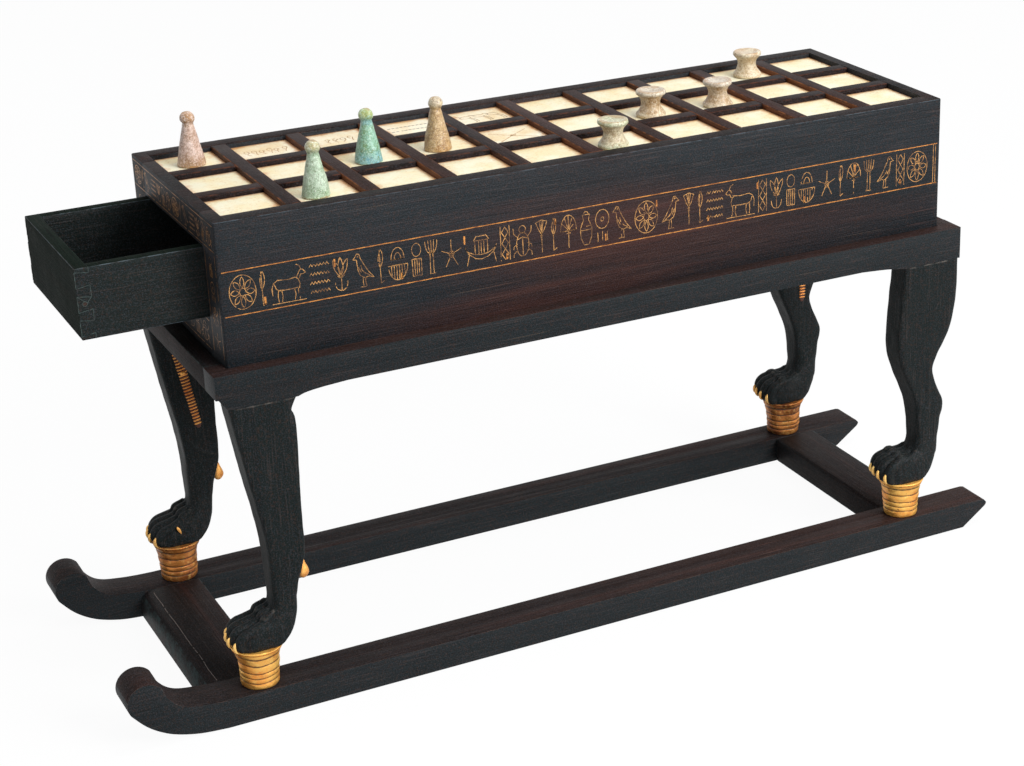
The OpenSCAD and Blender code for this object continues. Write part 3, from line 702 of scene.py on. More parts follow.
# How far a hand-cut foot or drum stands off its place along the board. At the top, over this length, the leg
# comes back to it
LEAN = {("hind", "far"): 3.2}
LEAN_TALL = 40
DRUM_OFF = {("front", "near"): -0.8, ("front", "far"): -0.9, ("hind", "near"): -1.4, ("hind", "far"): 2.2}
# Sides of a leg's rings. They lie close up to one height, and one more lies where the toes join the leg
LEG_SIDES, CLOSE_RINGS_TO, TOES_JOIN = 64, 34, 17.3


def curve_through(points, steps=8):
    """A smooth curve through points of any dimension."""
    p = [np.array(q, float) for q in points]
    out = []
    for i in range(len(p) - 1):
        a, b, c, d = p[max(i - 1, 0)], p[i], p[i + 1], p[min(i + 2, len(p) - 1)]
        for k in range(steps):
            t = k / steps
            out.append((2 * b + (c - a) * t + (2 * a - 5 * b + 4 * c - d) * t * t
                        + (3 * b - a - 3 * c + d) * t ** 3) / 2)
    return np.array(out + [p[-1]])


def profile_at(points):
    """Reads a profile of (distance, height) points at any height."""
    curve = curve_through(points)
    heights = np.maximum.accumulate(curve[:, 1])
    return lambda z: float(np.interp(z, heights, curve[:, 0]))


def add_rings(verts, faces, rings):
    """Skins a stack of rings of equal length and closes both ends."""
    start, n = len(verts), len(rings[0])
    for ring in rings:
        verts.extend(ring)
    for k in range(len(rings) - 1):
        a = start + k * n
        faces.extend((a + i, a + (i + 1) % n, a + n + (i + 1) % n, a + n + i) for i in range(n))
    faces.append(tuple(range(start + n - 1, start - 1, -1)))
    faces.append(tuple(range(len(verts) - n, len(verts))))


def add_limb(verts, faces, path, sides=12, flat=1.0):
    """A round bar along a path of (x, y, z, radius), its width across the paw times flat."""
    path = curve_through(path, 5)
    rings = []
    for k, (x, y, z, r) in enumerate(path):
        before, after = path[max(k - 1, 0)], path[min(k + 1, len(path) - 1)]
        along = Vector((after - before)[:3]).normalized()
        across = Vector((0, 1, 0))
        upright = along.cross(across).normalized()
        middle_point, ring = Vector((x, y, z)), []
        for i in range(sides):
            a = 2 * math.pi * i / sides
            ring.append(tuple(middle_point + across * (math.cos(a) * r * flat) + upright * (math.sin(a) * r)))
        rings.append(ring)
    add_rings(verts, faces, rings)


def leg_body(verts, faces, outline):
    """The leg without its toes: rounded at the ankle, square at the frame."""
    front, back, half = profile_at(outline[0]), profile_at(outline[1]), profile_at(LEG_HALVES)
    rings = []
    close, wide = np.arange(0, CLOSE_RINGS_TO, 1.0), np.arange(CLOSE_RINGS_TO, LEG_TALL, 2.0)
    for z in sorted({*close, *wide, TOES_JOIN, LEG_TALL}):
        # The ankle swells, the front makes room for the toes, and the section turns square further up
        thicker = 1.3 * math.exp(-((z - 36) / 22) ** 2)
        toe_room = 2.4 * max(0.0, 1 - abs(z - 8) / 11)
        low = front(z + 2.4 * max(0.0, 1 - z / 24)) + toe_room - thicker
        high = back(z) + thicker * 0.8
        square = 3.2 + 6 * min(1.0, max(0.0, (z - 26) / 34))
        x, rx, ry = (low + high) / 2, (high - low) / 2, half(z) - toe_room * 0.3
        ring = []
        for i in range(LEG_SIDES):
            a = 2 * math.pi * (i + 0.5) / LEG_SIDES
            c, s = math.cos(a), math.sin(a)
            ring.append((x + rx * math.copysign(abs(c) ** (2 / square), c),
                         ry * math.copysign(abs(s) ** (2 / square), s), z))
        rings.append(ring)
    add_rings(verts, faces, rings)


# For each toe: its place across the paw, how far it is set back and how high it lies
TOES = [(-9.0, 1.6, -0.8), (-3.0, 0, 0.2), (3.0, 0.4, 0.7), (9.0, 2.4, 0.3)]
# How much of the toe's own shift each of its points keeps, from its tip to the instep
TOE_REACH = [1, 1, 1, 0.9, 0.7, 0.5, 0.3, 0]
# The share of a toe's place across the paw that is left at the instep, and at its knuckle
TOES_GATHER, KNUCKLES_GATHER = 0.8, 0.86
# The line of a toe as (distance, height, half width), and its knuckle
FRONT_TOE = [(-12.4, 2.3, 1.9), (-14.4, 5.0, 2.9), (-14.1, 8.0, 3.1), (-11.4, 10.7, 3.05), (-6.5, 12.0, 3.0),
             (-1.5, 13.4, 2.95), (3, 15.2, 2.7), (7.2, 18.6, 2.0)]
FRONT_KNUCKLE = [(0.2, 15.4, 1.0), (2.0, 17.2, 2.2), (4.4, 18.4, 2.3), (6.8, 19.8, 1.8), (8.6, 21.8, 0.9)]
HIND_TOE = [(-15.0, 2.3, 1.9), (-17.8, 5.2, 2.9), (-18.0, 9.4, 3.1), (-15.6, 12.8, 3.1), (-10.5, 14.6, 3.0),
            (-4.5, 15.4, 2.9), (1.5, 16.4, 2.5), (5.6, 19.0, 1.8)]
HIND_KNUCKLE = [(-10.4, 16.0, 0.8), (-8.0, 17.0, 2.1), (-5.0, 17.4, 2.0), (-2.0, 17.3, 0.8)]
# The fold of skin over the elbow, as (distance, height, half width), and its place across a front leg
ELBOW_FOLD = [(9.5, 70, 0.3), (11.7, 65.5, 0.9), (15.0, 61, 1.1), (19.5, 57.5, 1.1), (24, 55.5, 0.9),
              (27, 55, 0.3)]
ELBOW_Y = 8.9
# The cubes a carving is melted with and the depth of its tool marks, in mm, and how close these marks lie
CARVED_VOXEL, CHISEL_DEEP, CHISEL_CLOSE = 0.6, 0.22, 140
# The bend of the surface at which wear starts, and over which it grows to its full
CREST_FROM, CREST_SPAN = 0.030, 0.05


def toes(verts, faces, toe, knuckle):
    """Four long toes side by side, the outer ones set back, each with a knuckle on the instep."""
    for y, back, lift in TOES:
        add_limb(verts, faces, [(x + back * k, y * (TOES_GATHER + (1 - TOES_GATHER) * k), z + lift * k, r)
                                for (x, z, r), k in zip(toe, TOE_REACH)])
        knuckle_path = [(x, y * KNUCKLES_GATHER, z + lift * 0.6, r) for x, z, r in knuckle]
        add_limb(verts, faces, knuckle_path, flat=1.05)


def neighbours_sum(pairs, values):
    """For each vertex the sum of the values at the other ends of its edges."""
    total = np.zeros_like(values)
    for a, b in ((0, 1), (1, 0)):
        np.add.at(total, pairs[:, a], values[pairs[:, b]])
    return total


def carved(verts, faces, seed):
    """Melts the pieces of a carving into one skin, cuts it slightly uneven and finds its crests."""
    mesh = bpy.data.meshes.new("rough")
    mesh.from_pydata([Vector(v) * MM for v in verts], [], faces)
    rough = bpy.data.objects.new("rough", mesh)
    bpy.context.scene.collection.objects.link(rough)
    melt = rough.modifiers.new("melt", "REMESH")
    melt.mode = "VOXEL"
    melt.voxel_size = CARVED_VOXEL * MM
    settle = rough.modifiers.new("settle", "SMOOTH")
    settle.factor, settle.iterations = 0.5, 3
    seen = rough.evaluated_get(bpy.context.evaluated_depsgraph_get())
    done = bpy.data.meshes.new_from_object(seen)
    bpy.data.objects.remove(rough)
    bpy.data.meshes.remove(mesh)
    count = len(done.vertices)
    co, no = np.empty(count * 3, np.float32), np.empty(count * 3, np.float32)
    done.vertices.foreach_get("co", co)
    done.vertices.foreach_get("normal", no)
    co, no = co.reshape(-1, 3), no.reshape(-1, 3)
    pairs = np.empty(len(done.edges) * 2, np.int32)
    done.edges.foreach_get("vertices", pairs)
    pairs = pairs.reshape(-1, 2)
    number = np.maximum(neighbours_sum(pairs, np.ones(count)), 1)
    bend = ((co - neighbours_sum(pairs, co) / number[:, None]) * no).sum(1) / MM
    for _ in range(2):
        bend = 0.4 * bend + 0.6 * neighbours_sum(pairs, bend) / number
    uneven = np.array([noise.noise(Vector(c) * CHISEL_CLOSE + Vector((seed * 7.3, 0, 0))) for c in co])
    co += no * (uneven * CHISEL_DEEP * MM)[:, None]
    done.vertices.foreach_set("co", co.ravel())
    mark(done, "worn", np.clip((bend - CREST_FROM) / CREST_SPAN, 0, 1))
    done.polygons.foreach_set("use_smooth", [True] * len(done.polygons))
    done.update()
    return done


def foot_place(end, side):
    """The middle of the top of a drum."""
    low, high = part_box("drum_" + end + "_" + side)
    return Vector(((low.x + high.x) / 2, (low.y + high.y) / 2, SOLE))


FEET = [(end, side) for end in ("front", "hind") for side in ("near", "far")]


def make_legs():
    for number, (end, side) in enumerate(FEET):
        verts, faces = [], []
        leg_body(verts, faces, FRONT_LEG if end == "front" else HIND_LEG)
        if end == "front":
            toes(verts, faces, FRONT_TOE, FRONT_KNUCKLE)
            inner = ELBOW_Y if side == "near" else -ELBOW_Y
            add_limb(verts, faces, [(x, inner, z, r) for x, z, r in ELBOW_FOLD], flat=0.9)
        else:
            toes(verts, faces, HIND_TOE, HIND_KNUCKLE)
        mesh = carved(verts, faces, number)
        for v in mesh.vertices:
            v.co.x += LEAN.get((end, side), 0) * MM * min(1, (LEG_TALL - v.co.z / MM) / LEAN_TALL)
        mesh.transform(Matrix.Translation(foot_place(end, side)))
        name = "leg_" + end + "_" + side
        link(name + "_carved", mesh, "stand", "ebony", EBONY_Z, name)


make_legs()


# Gilded claws, spurs, drums and ribbed strips

def plain_mesh(name, verts, faces):
    """A mesh from points in millimetres, its faces turned outwards."""
    mesh = bpy.data.meshes.new(name)
    mesh.from_pydata([Vector(v) * MM for v in verts], [], faces)
    bm = bmesh.new()
    bm.from_mesh(mesh)
    bmesh.ops.recalc_face_normals(bm, faces=bm.faces)
    bm.to_mesh(mesh)
    bm.free()
    smooth_faces(mesh, 60)
    return mesh


# A claw as (distance behind its place, height, half width), and that place for each kind of paw
CLAW = [(0.4, 8.4, 0.25), (-0.3, 7.1, 0.85), (-0.6, 5.2, 1.05), (-0.2, 3.2, 0.9), (1.0, 1.5, 0.35)]
TOE_TIP = {"front": (-17.3, 0), "hind": (-20.9, 1.4)}
# The small claw inside a front paw, its place across the paw, and how bright the claws of the far side are
# painted, a painted shade
DEWCLAW = [(-2.6, 13.2, 0.3), (-2.0, 12.0, 0.95), (-1.2, 10.2, 0.9), (-0.4, 8.4, 0.3)]
DEWCLAW_Y = 12.4
FAR_CLAW_PAINTED_LIGHT = 0.55


def make_claws():
    """Gilded claws on the toes, and a small one inside each front paw."""
    verts, faces, crest = [], [], []
    for end, side in FEET:
        at = foot_place(end, side) / MM
        at.x += LEAN.get((end, side), 0)
        ahead, raised = TOE_TIP[end]
        for y, back, lift in TOES:
            add_limb(verts, faces, [(at.x + ahead + back + x, at.y + y, at.z + raised + lift + z, r)
                                    for x, z, r in CLAW], 10, 1.1)
        if end == "front":
            inner = at.y + (DEWCLAW_Y if side == "near" else -DEWCLAW_Y)
            add_limb(verts, faces, [(at.x + x, inner, at.z + z, r) for x, z, r in DEWCLAW], 10, 0.8)
        # The far claws take a lower crest, so more grime colour and less metal: a painted shade
        crest += [1.0 if side == "near" else FAR_CLAW_PAINTED_LIGHT] * (len(verts) - len(crest))
    mesh = plain_mesh("claws_carved", verts, faces)
    mark(mesh, "crest", crest)
    link("claws_carved", mesh, "stand", "gilt", CLAW_GOLD, "claws")


def turned(name, profile, at, steps, uneven):
    """Turns (radius, height, crest) points round the upright axis; uneven(angle, height) moves a radius."""
    verts, faces, crest = [], [], []
    for r, z, c in profile:
        for i in range(steps):
            a = 2 * math.pi * i / steps
            q = r + uneven(a, z) if r > 0.3 else r
            verts.append((at.x / MM + q * math.cos(a), at.y / MM + q * math.sin(a), at.z / MM + z))
            crest.append(c)
    for k in range(len(profile) - 1):
        for i in range(steps):
            j = (i + 1) % steps
            faces.append((k * steps + i, k * steps + j, (k + 1) * steps + j, (k + 1) * steps + i))
    faces.append(tuple(range(steps - 1, -1, -1)))
    faces.append(tuple(range((len(profile) - 1) * steps, len(profile) * steps)))
    return plain_mesh(name, verts, faces), crest


def round_noise(angle, height, rough, seed):
    """Noise round an upright axis, the same where the circle closes."""
    return noise.noise(Vector((math.cos(angle) * rough, math.sin(angle) * rough, height * 0.11 + seed * 9.1)))


# The heights of the grooves of a drum, the last beyond its rim, in mm
DRUM_RINGS = [0.0, 4.2, 7.4, 10.6, 15.6, 20.4, 28]
# The wall as (radius, height), and the rim as (radius, height, crest)
DRUM_WALL = [(10.7, 0), (11.1, 5), (11.4, 10), (11.7, 14), (12.1, 17.5), (12.8, 20), (13.6, 22), (14.1, 23.2)]
DRUM_RIM = [(13.7, 23.35, 0.2), (14.2, 23.6, 0.8), (14.6, 24.0, 1), (14.7, 24.5, 1), (14.5, 24.9, 1),
            (13.8, 25, 0.8)]
# Between these heights the rings waver up and down, by up to this much
WAVER_FROM, WAVER_TO, WAVER = 1, 22, 0.7


def drum_profile():
    """Uneven flat rings parted by narrow cut grooves, widening to a thin rim under the paw."""
    wall = profile_at(DRUM_WALL)
    profile = [(10.0, 0.0, 0.2)]
    for z in np.arange(0.25, 23.3, 0.25):
        k = max(i for i, ring in enumerate(DRUM_RINGS) if ring <= z)
        across = (z - DRUM_RINGS[k]) / (DRUM_RINGS[k + 1] - DRUM_RINGS[k])
        swell = math.sin(math.pi * across) ** 0.30
        profile.append((wall(z) + 0.8 * (swell - 0.8), z, swell ** 2))
    return profile + DRUM_RIM


def make_drums():
    profile = drum_profile()
    for number, (end, side) in enumerate(FEET):
        name = "drum_" + end + "_" + side
        at = foot_place(end, side)
        at.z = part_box(name)[0].z
        at.x += DRUM_OFF[end, side] * MM

        def uneven(angle, z):
            sway = round_noise(angle, z, 1.1, number) * 0.4
            return sway + round_noise(angle, z * 4, 2.6, number + 5) * 0.22

        mesh, crest = turned(name + "_gilded", profile, at, 72, uneven)
        for v in mesh.vertices:
            angle = math.atan2(v.co.y - at.y, v.co.x - at.x)
            height = (v.co.z - at.z) / MM
            if WAVER_FROM < height < WAVER_TO:
                v.co.z += (round_noise(angle, 2, 1.0, number + 11) * WAVER) * MM
        mark(mesh, "crest", crest)
        # The far drums take the darker copy of the gilding, a painted shade
        link(name + "_gilded", mesh, "stand", "gilt", GILT if side == "near" else GILT_FAR_SHADED, name)


# The gilded dewclaw behind a front leg as (radius, height), and its distance from the drum's middle
SPUR = [(0.3, 0.1), (1.7, 0.6), (3.0, 2.4), (3.35, 4.2), (2.8, 6.6), (1.9, 9), (1.1, 11.6), (0.35, 13.9)]
SPUR_X = 29.5


def three_sided(angle, z):
    """How far the skin of a dewclaw stands out, slightly three-sided towards its foot."""
    return 0.35 * math.cos(3 * angle + z * 0.2) * min(1, z / 4) * max(0, 1 - z / 13)


def make_spurs():
    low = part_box("dewclaws")[0]
    profile = [(r, z, 0.9 if z > 1 else 0.4) for r, z in curve_through(SPUR, 4)]
    for side in ("near", "far"):
        foot = foot_place("front", side)
        at = Vector((foot.x + SPUR_X * MM, foot.y, low.z))
        mesh, crest = turned("spur_" + side, profile, at, 32, three_sided)
        mark(mesh, "crest", crest)
        link("spur_" + side, mesh, "stand", "gilt", GILT_SMALL, "dewclaws")


# The gold ribs of a strip, and its length in mm
RIBS, RIB_STRIP_L = 33, 70
# How far under the rail a strip ends, and its place across the leg, in mm
RIB_STRIP_UNDER, RIB_STRIP_Y = 3, 9
# For each end of the board the strip's lean in degrees and its foot's place along the leg
RIB_STRIP_AT = {"front": (10.2, 18.6), "hind": (-2, 11.5)}


def half_width(up):
    """Half the width of the ribbed strip, up millimetres from its foot."""
    return (2.1 + 1.2 * up / RIB_STRIP_L) * min(1, 0.45 + up / 4)


def make_rib_strips():
    """The ribbed strips inside the legs: a brown half-round strip crossed by thin gold ribs, and one bead."""
    verts, faces, crest = [], [], []
    rail_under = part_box("rail_near")[0].z / MM
    for end, side in FEET:
        foot = foot_place(end, side) / MM
        lean, shift = math.radians(RIB_STRIP_AT[end][0]), RIB_STRIP_AT[end][1]
        inward = 1 if side == "near" else -1
        along = Vector((-math.sin(lean), 0, math.cos(lean)))
        across = Vector((math.cos(lean), 0, math.sin(lean)))
        base = Vector((foot.x + shift, foot.y + inward * RIB_STRIP_Y,
                       rail_under - RIB_STRIP_L * math.cos(lean) - RIB_STRIP_UNDER))

        def crossed(up, half, thick, tall, shine):
            """A rounded bar across the strip, up millimetres from its foot."""
            rings = []
            for b in np.linspace(0, math.pi, 9):
                ring = []
                for a in np.linspace(0, 2 * math.pi, 8, endpoint=False):
                    r = max(0.05, math.sin(b)) ** 0.5
                    p = base + along * (up + thick * r * math.cos(a)) + across * (-half * math.cos(b))
                    p.y += inward * tall * (0.1 + r * math.sin(a))
                    ring.append(tuple(p))
                rings.append(ring)
            before = len(verts)
            add_rings(verts, faces, rings)
            crest.extend([shine] * (len(verts) - before))

        for up in np.arange(0.5, RIB_STRIP_L, 1.0):
            crossed(up, half_width(up), 0.9, 0.35, 0.12)
        for k in range(RIBS):
            up = (k + 1.4) / (RIBS + 1) * RIB_STRIP_L
            crossed(up, half_width(up) + 0.15, 0.62, 0.85, 1.0)
        crossed(RIB_STRIP_L * 0.53, 1.7, 1.7, 1.5, 1.0)
    mesh = plain_mesh("rib_strips", verts, faces)
    mark(mesh, "crest", crest)
    link("rib_strips", mesh, "stand", "gilt", GILT_SMALL, "rib_inlays")


make_claws()
make_drums()
make_spurs()
make_rib_strips()


# Playing pieces

# The outlines as (radius, height)
CONE = [(7.1, 0), (7.9, 0.5), (8.0, 1.2), (7.5, 4.5), (6.6, 9), (5.4, 14), (4.3, 19), (3.4, 22.8),
        (3.1, 24.2), (3.4, 25.1), (4.1, 26.3), (4.2, 27.7), (3.6, 29.4), (2.2, 30.8), (0.3, 31.2)]
SPOOL = [(7.6, 0), (8.7, 0.4), (9.0, 1.1), (8.8, 2.2), (7.6, 3.8), (6.4, 5.8), (5.8, 8), (5.9, 9.8),
         (6.8, 12), (8.2, 13.4), (8.9, 14.2), (9.0, 15.2), (8.7, 16.0), (8.0, 16.4), (6.6, 16.3),
         (4.4, 15.9), (2, 15.7), (0.3, 15.6)]
# For each piece the colours of foot, body, head, spots and pale glaze
PIECES = {
    "cone_pink": ((190, 146, 96), (210, 174, 154), (176, 124, 58), (152, 112, 86), (244, 222, 212)),
    "cone_green": ((156, 194, 156), (184, 212, 180), (190, 168, 104), (122, 142, 106), (216, 230, 210)),
    "cone_turquoise": ((84, 168, 196), (128, 190, 160), (198, 206, 122), (112, 140, 70), (182, 222, 206)),
    "cone_tan": ((182, 132, 66), (200, 162, 108), (232, 220, 192), (138, 98, 52), (228, 202, 154)),
    "spool_green": ((170, 192, 150), (214, 196, 156), (182, 196, 156), (160, 126, 82), (236, 226, 196)),
    "spool_cream": ((228, 206, 164), (196, 160, 108), (208, 196, 176), (150, 110, 66), (242, 230, 204)),
    "spool_white": ((230, 208, 170), (196, 158, 106), (206, 194, 178), (152, 112, 66), (244, 232, 210)),
    "spool_brown": ((228, 206, 168), (224, 200, 156), (232, 216, 184), (182, 142, 94), (242, 230, 204)),
}
# How strongly the foot's colour returns in a ring round a cone's neck
CONE_NECK = 0.6


def make_pieces():
    for number, (name, colours) in enumerate(PIECES.items()):
        is_cone = name.startswith("cone")
        outline = CONE if is_cone else SPOOL
        low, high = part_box(name)
        at = Vector(((low.x + high.x) / 2, (low.y + high.y) / 2, low.z))
        tall = max(z for _, z in outline)
        profile = [(r, z, z / tall) for r, z in curve_through(outline, 4)]

        def uneven(angle, z):
            sway = round_noise(angle, z, 1.0, number + 20) * 0.42
            return sway + round_noise(angle, z * 5, 3.2, number + 40) * 0.16

        mesh, height = turned(name + "_glazed", profile, at, 56, uneven)
        mark(mesh, "height", height)
        material = faience(name + "_glaze", *colours, neck=CONE_NECK if is_cone else 0.0)
        link(name + "_glazed", mesh, name, name + "_glaze", material, name)


make_pieces()


# Gold lines rubbed into the wood. Each figure gives its width and its strokes, in mm on a band 21 mm high

FIGURE_TALL = 21


def bow(x, z, rx, rz, start=0, end=360, steps=24):
    """Part of an oval round (x, z), from one angle in degrees to another."""
    angles = [math.radians(start + (end - start) * i / steps) for i in range(steps + 1)]
    return [(x + rx * math.cos(a), z + rz * math.sin(a)) for a in angles]


def petal(x, z, angle, length, width, half=8):
    """A closed leaf from (x, z) outwards, each side of it in half steps."""
    c, s = math.cos(math.radians(angle)), math.sin(math.radians(angle))
    out = []
    for k in range(2 * half + 1):
        t = k / half if k <= half else (2 * half - k) / half
        side = width / 2 * math.sin(math.pi * t) ** 0.8 * (1 if k <= half else -1)
        out.append((x + c * length * t - s * side, z + s * length * t + c * side))
    return out


def rosette():
    strokes = [bow(10, 10.5, 9.6, 9.6, steps=40), bow(10, 10.5, 2.2, 2.2)]
    for a in range(0, 360, 45):
        start_x, start_z = 10 + 2.5 * math.cos(math.radians(a)), 10.5 + 2.5 * math.sin(math.radians(a))
        strokes.append(petal(start_x, start_z, a, 6.2, 3.0))
    return 20, strokes


def sprout(x, z, dx, dz):
    """A shoot that rises and bends outwards."""
    return [(x + dx * math.sin(t * math.pi / 2), z + dz * t * t) for t in (i / 8 for i in range(9))]


def lotus():
    strokes = [[(6.5, 1), (6.6, 5), (6.5, 9)], petal(6.5, 9, 90, 11, 3.6), petal(6.2, 9, 118, 11, 3.2),
               petal(6.8, 9, 62, 11, 3.2), [(3.8, 9.6), (6.5, 8.2), (9.2, 9.6)]]
    return 13, strokes + [sprout(6.5, 1, -4.6, 5), sprout(6.5, 1, 4.6, 5)]


def papyrus():
    fan_top = [(5.5, 12), (3.6, 14), (1, 19), (5.5, 20.2), (10, 19), (7.4, 14), (5.5, 12)]
    return 11, [[(5.5, 1), (5.5, 12)], fan_top, [(5.5, 12), (4, 19.6)], [(5.5, 12), (5.5, 20)],
                [(5.5, 12), (7, 19.6)], [(4.4, 11), (6.6, 11)], [(4.4, 9.8), (6.6, 9.8)]]


def water():
    return 15, [[(0.5 + i * 1.2, z + (1.5 if i % 2 else 0)) for i in range(13)]
                for z in (2.4, 7.4, 12.4, 17.4)]


def bird():
    body = [(2.6, 18.4), (4, 20), (5.8, 19.6), (6.4, 17.4), (8.6, 14), (12, 9.2), (16, 5.4), (12, 6.4),
            (9, 5.8), (6, 7.4), (4.4, 10.4), (3.9, 13.8), (3.6, 16.6), (0.8, 17), (2.6, 18.4)]
    wing = [(6.6, 13.2), (7.4, 10.4), (10, 8.2), (13, 6.8)]
    return 17, [body, wing, [(4.8, 12.4), (6.8, 9)], [(7.8, 6), (7.6, 3.6), (8, 0.8), (5.4, 0.8)],
                [(9.6, 6), (9.6, 3.6), (10.2, 0.8), (8.2, 0.8)], bow(4.5, 18.5, 0.35, 0.35, steps=8)]


def basket():
    bowl = bow(8, 9.6, 7.4, 8.6, 180, 360) + [(0.6, 9.6)]
    hatch = [[(x, 9.6), (x, 9.6 - 8.4 * math.sqrt(1 - ((x - 8) / 7.4) ** 2))] for x in range(3, 14, 2)]
    handle = bow(8, 13, 5, 6.6, 0, 180) + [(13, 13), (3, 13)]
    return 16, [bowl, handle, bow(8, 13, 2.6, 3.6, 0, 180)] + hatch


def reed():
    return 5.5, [[(2, 0.8), (2, 20)], petal(2, 10, 84, 10, 3.4), [(2, 0.8), (4.6, 2.2)]]


def star():
    angles = [math.radians(a) for a in range(90, 450, 72)]
    rays = [[(8.5, 10), (8.5 + 8 * math.cos(a), 10 + 8.4 * math.sin(a))] for a in angles]
    return 17, rays + [bow(8.5, 10, 1.8, 1.8, steps=12)]


def grid_block():
    frame_line = [(1, 1.2), (8, 1.2), (8, 11), (1, 11), (1, 1.2)]
    return 9, [frame_line] + [[(x, 1.2), (x, 11)] for x in (2.8, 4.5, 6.2)] + [bow(4.5, 16.2, 3.4, 3.8)]


def disc():
    return 12, [bow(6, 14.2, 5.6, 5.6, steps=32), bow(6, 14.2, 1.2, 1.2, steps=10), [(2, 1), (2, 6.6)],
                [(6, 1), (6, 7)], [(10, 1), (10, 6.6)]]


def beetle():
    body = bow(8, 8, 5, 7, steps=28)
    legs = [[(8 + s * 4.2, z), (8 + s * 7, z + d), (8 + s * 7.4, z + 2.4 * d)] for s in (-1, 1)
            for z, d in ((12.4, 2.4), (8.6, -1.3), (4.8, -1.6))]
    return 16, [body, [(8, 1), (8, 11.6)], [(3.4, 11), (8, 12.4), (12.6, 11)], bow(8, 16.8, 2.6, 2.2)] + legs


def antelope():
    body = [(3, 12), (6, 13.4), (14, 12.8), (19, 13.4), (21, 12.2), (22, 9.5), (21.5, 7), (20, 7.5),
            (13, 7.2), (7, 7.4), (4.6, 8.4), (3, 12)]
    head = [(20, 13.4), (22.4, 17), (24.4, 17.4), (26.6, 15.4), (25, 14.6), (23, 14.6), (21.8, 12.4)]
    legs = [[(6, 7.8), (5.4, 4), (6, 1)], [(8.4, 7.6), (9, 4), (8.2, 1)], [(17.8, 7.4), (18.6, 4), (17.6, 1)],
            [(20.6, 7.4), (20.4, 4), (21.6, 1)]]
    return 27, [body, head, [(23.4, 17.4), (22.4, 19.6), (20, 20.6)], [(3, 12), (1.4, 9), (1.8, 5)],
                [(1, 0.2), (26, 0.2)]] + legs


def boat():
    hull = [(0.5, 12), (3, 7.8), (8, 4.8), (13, 4), (18, 4.8), (23, 7.8), (25.5, 12), (24, 9.4), (18.5, 7.2),
            (13, 6.6), (7.5, 7.2), (2, 9.4), (0.5, 12)]
    cabin = [[(8, 7.4), (8, 15), (18, 15), (18, 7.4)], [(7, 15), (9, 17.4), (17, 17.4), (19, 15)]]
    posts = [[(x, 7.2), (x, 15)] for x in (11, 13, 15)]
    return 26, [hull, [(4, 9), (1.4, 1)], [(22, 9), (24.6, 1)]] + cabin + posts


def fan():
    angles = [math.radians(a) for a in (30, 60, 90, 120, 150)]
    ribs = [[(7, 11), (7 + 6.2 * math.cos(a), 11 + 9 * math.sin(a))] for a in angles]
    return 14, [[(7, 0.8), (7, 11)], bow(7, 11, 6.4, 9.2, 0, 180) + [(13.4, 11), (0.6, 11)],
                [(5.4, 9.4), (8.6, 9.4)]] + ribs


def palm():
    trunk = [[(3.6, 1), (3.9, 13)], [(6.4, 1), (6.1, 13)], [(2.4, 1), (7.6, 1)], [(3.4, 13), (6.6, 13)]]
    return 10, trunk + [sprout(4, 13, -3.6, 7), sprout(6, 13, 3.6, 7), [(5, 13), (5, 20.4)],
                        sprout(4.6, 13, -1.8, 7.4), sprout(5.4, 13, 1.8, 7.4)]


def diamonds():
    chain = [[(4, z), (6.6, z + 3.2), (4, z + 6.4), (1.4, z + 3.2), (4, z)] for z in (0.9, 7.3, 13.7)]
    return 8, [[(0.4, 0.4), (0.4, 20.6)], [(7.6, 0.4), (7.6, 20.6)]] + chain


def jar():
    body = [(3.4, 0.8), (1, 5), (0.8, 11), (3.4, 15.4), (2.6, 18.6), (8.4, 18.6), (7.6, 15.4), (10.2, 11),
            (10, 5), (7.6, 0.8), (3.4, 0.8)]
    return 11, [body, [(1, 11.6), (10, 11.6)], [(0.8, 9.4), (10.2, 9.4)], bow(5.5, 19.2, 1.6, 1.2, 0, 180)]


def mirrored(motif):
    """A figure turned the other way."""
    width, strokes = motif()
    return lambda: (width, [[(width - x, z) for x, z in stroke] for stroke in strokes])


SHORT_BAND = [rosette, reed, bird, water, lotus, grid_block, beetle]
FRIEZE = [rosette, reed, antelope, water, lotus, bird, reed, basket, grid_block, palm, star, boat, diamonds,
          beetle, papyrus, reed, fan, jar, disc, bird, rosette, mirrored(bird), papyrus, reed, water,
          mirrored(antelope), diamonds, lotus, grid_block, basket, star, reed, fan, palm, mirrored(bird),
          diamonds, rosette]
# Short filled strokes between the figures: distance along the board, low end and high end
FILLS = [(24.6, 0, 4.6), (64.8, 14, 18.6), (103, 0, 3.6), (141, 13, 18), (166.4, 0, 3.4), (197, 15, 18.4),
         (228.6, 0, 4), (262, 14.6, 18.6), (296, 0, 3.2), (329.6, 14, 18), (362, 0, 4.2), (398, 13.6, 18),
         (431, 0, 3.4)]


# How far apart the points of a stroke lie, in mm, and how far a stroke stands off the wood
STROKE_STEP = 0.6
PROUD = 0.06 * MM


def thin(points, step):
    """Points at even steps along a stroke."""
    out = [np.array(points[0], float)]
    for a, b in zip(points, points[1:]):
        a, b = np.array(a, float), np.array(b, float)
        n = max(1, int(np.ceil(np.linalg.norm(b - a) / step)))
        out.extend(a + (b - a) * k / n for k in range(1, n + 1))
    return np.array(out)


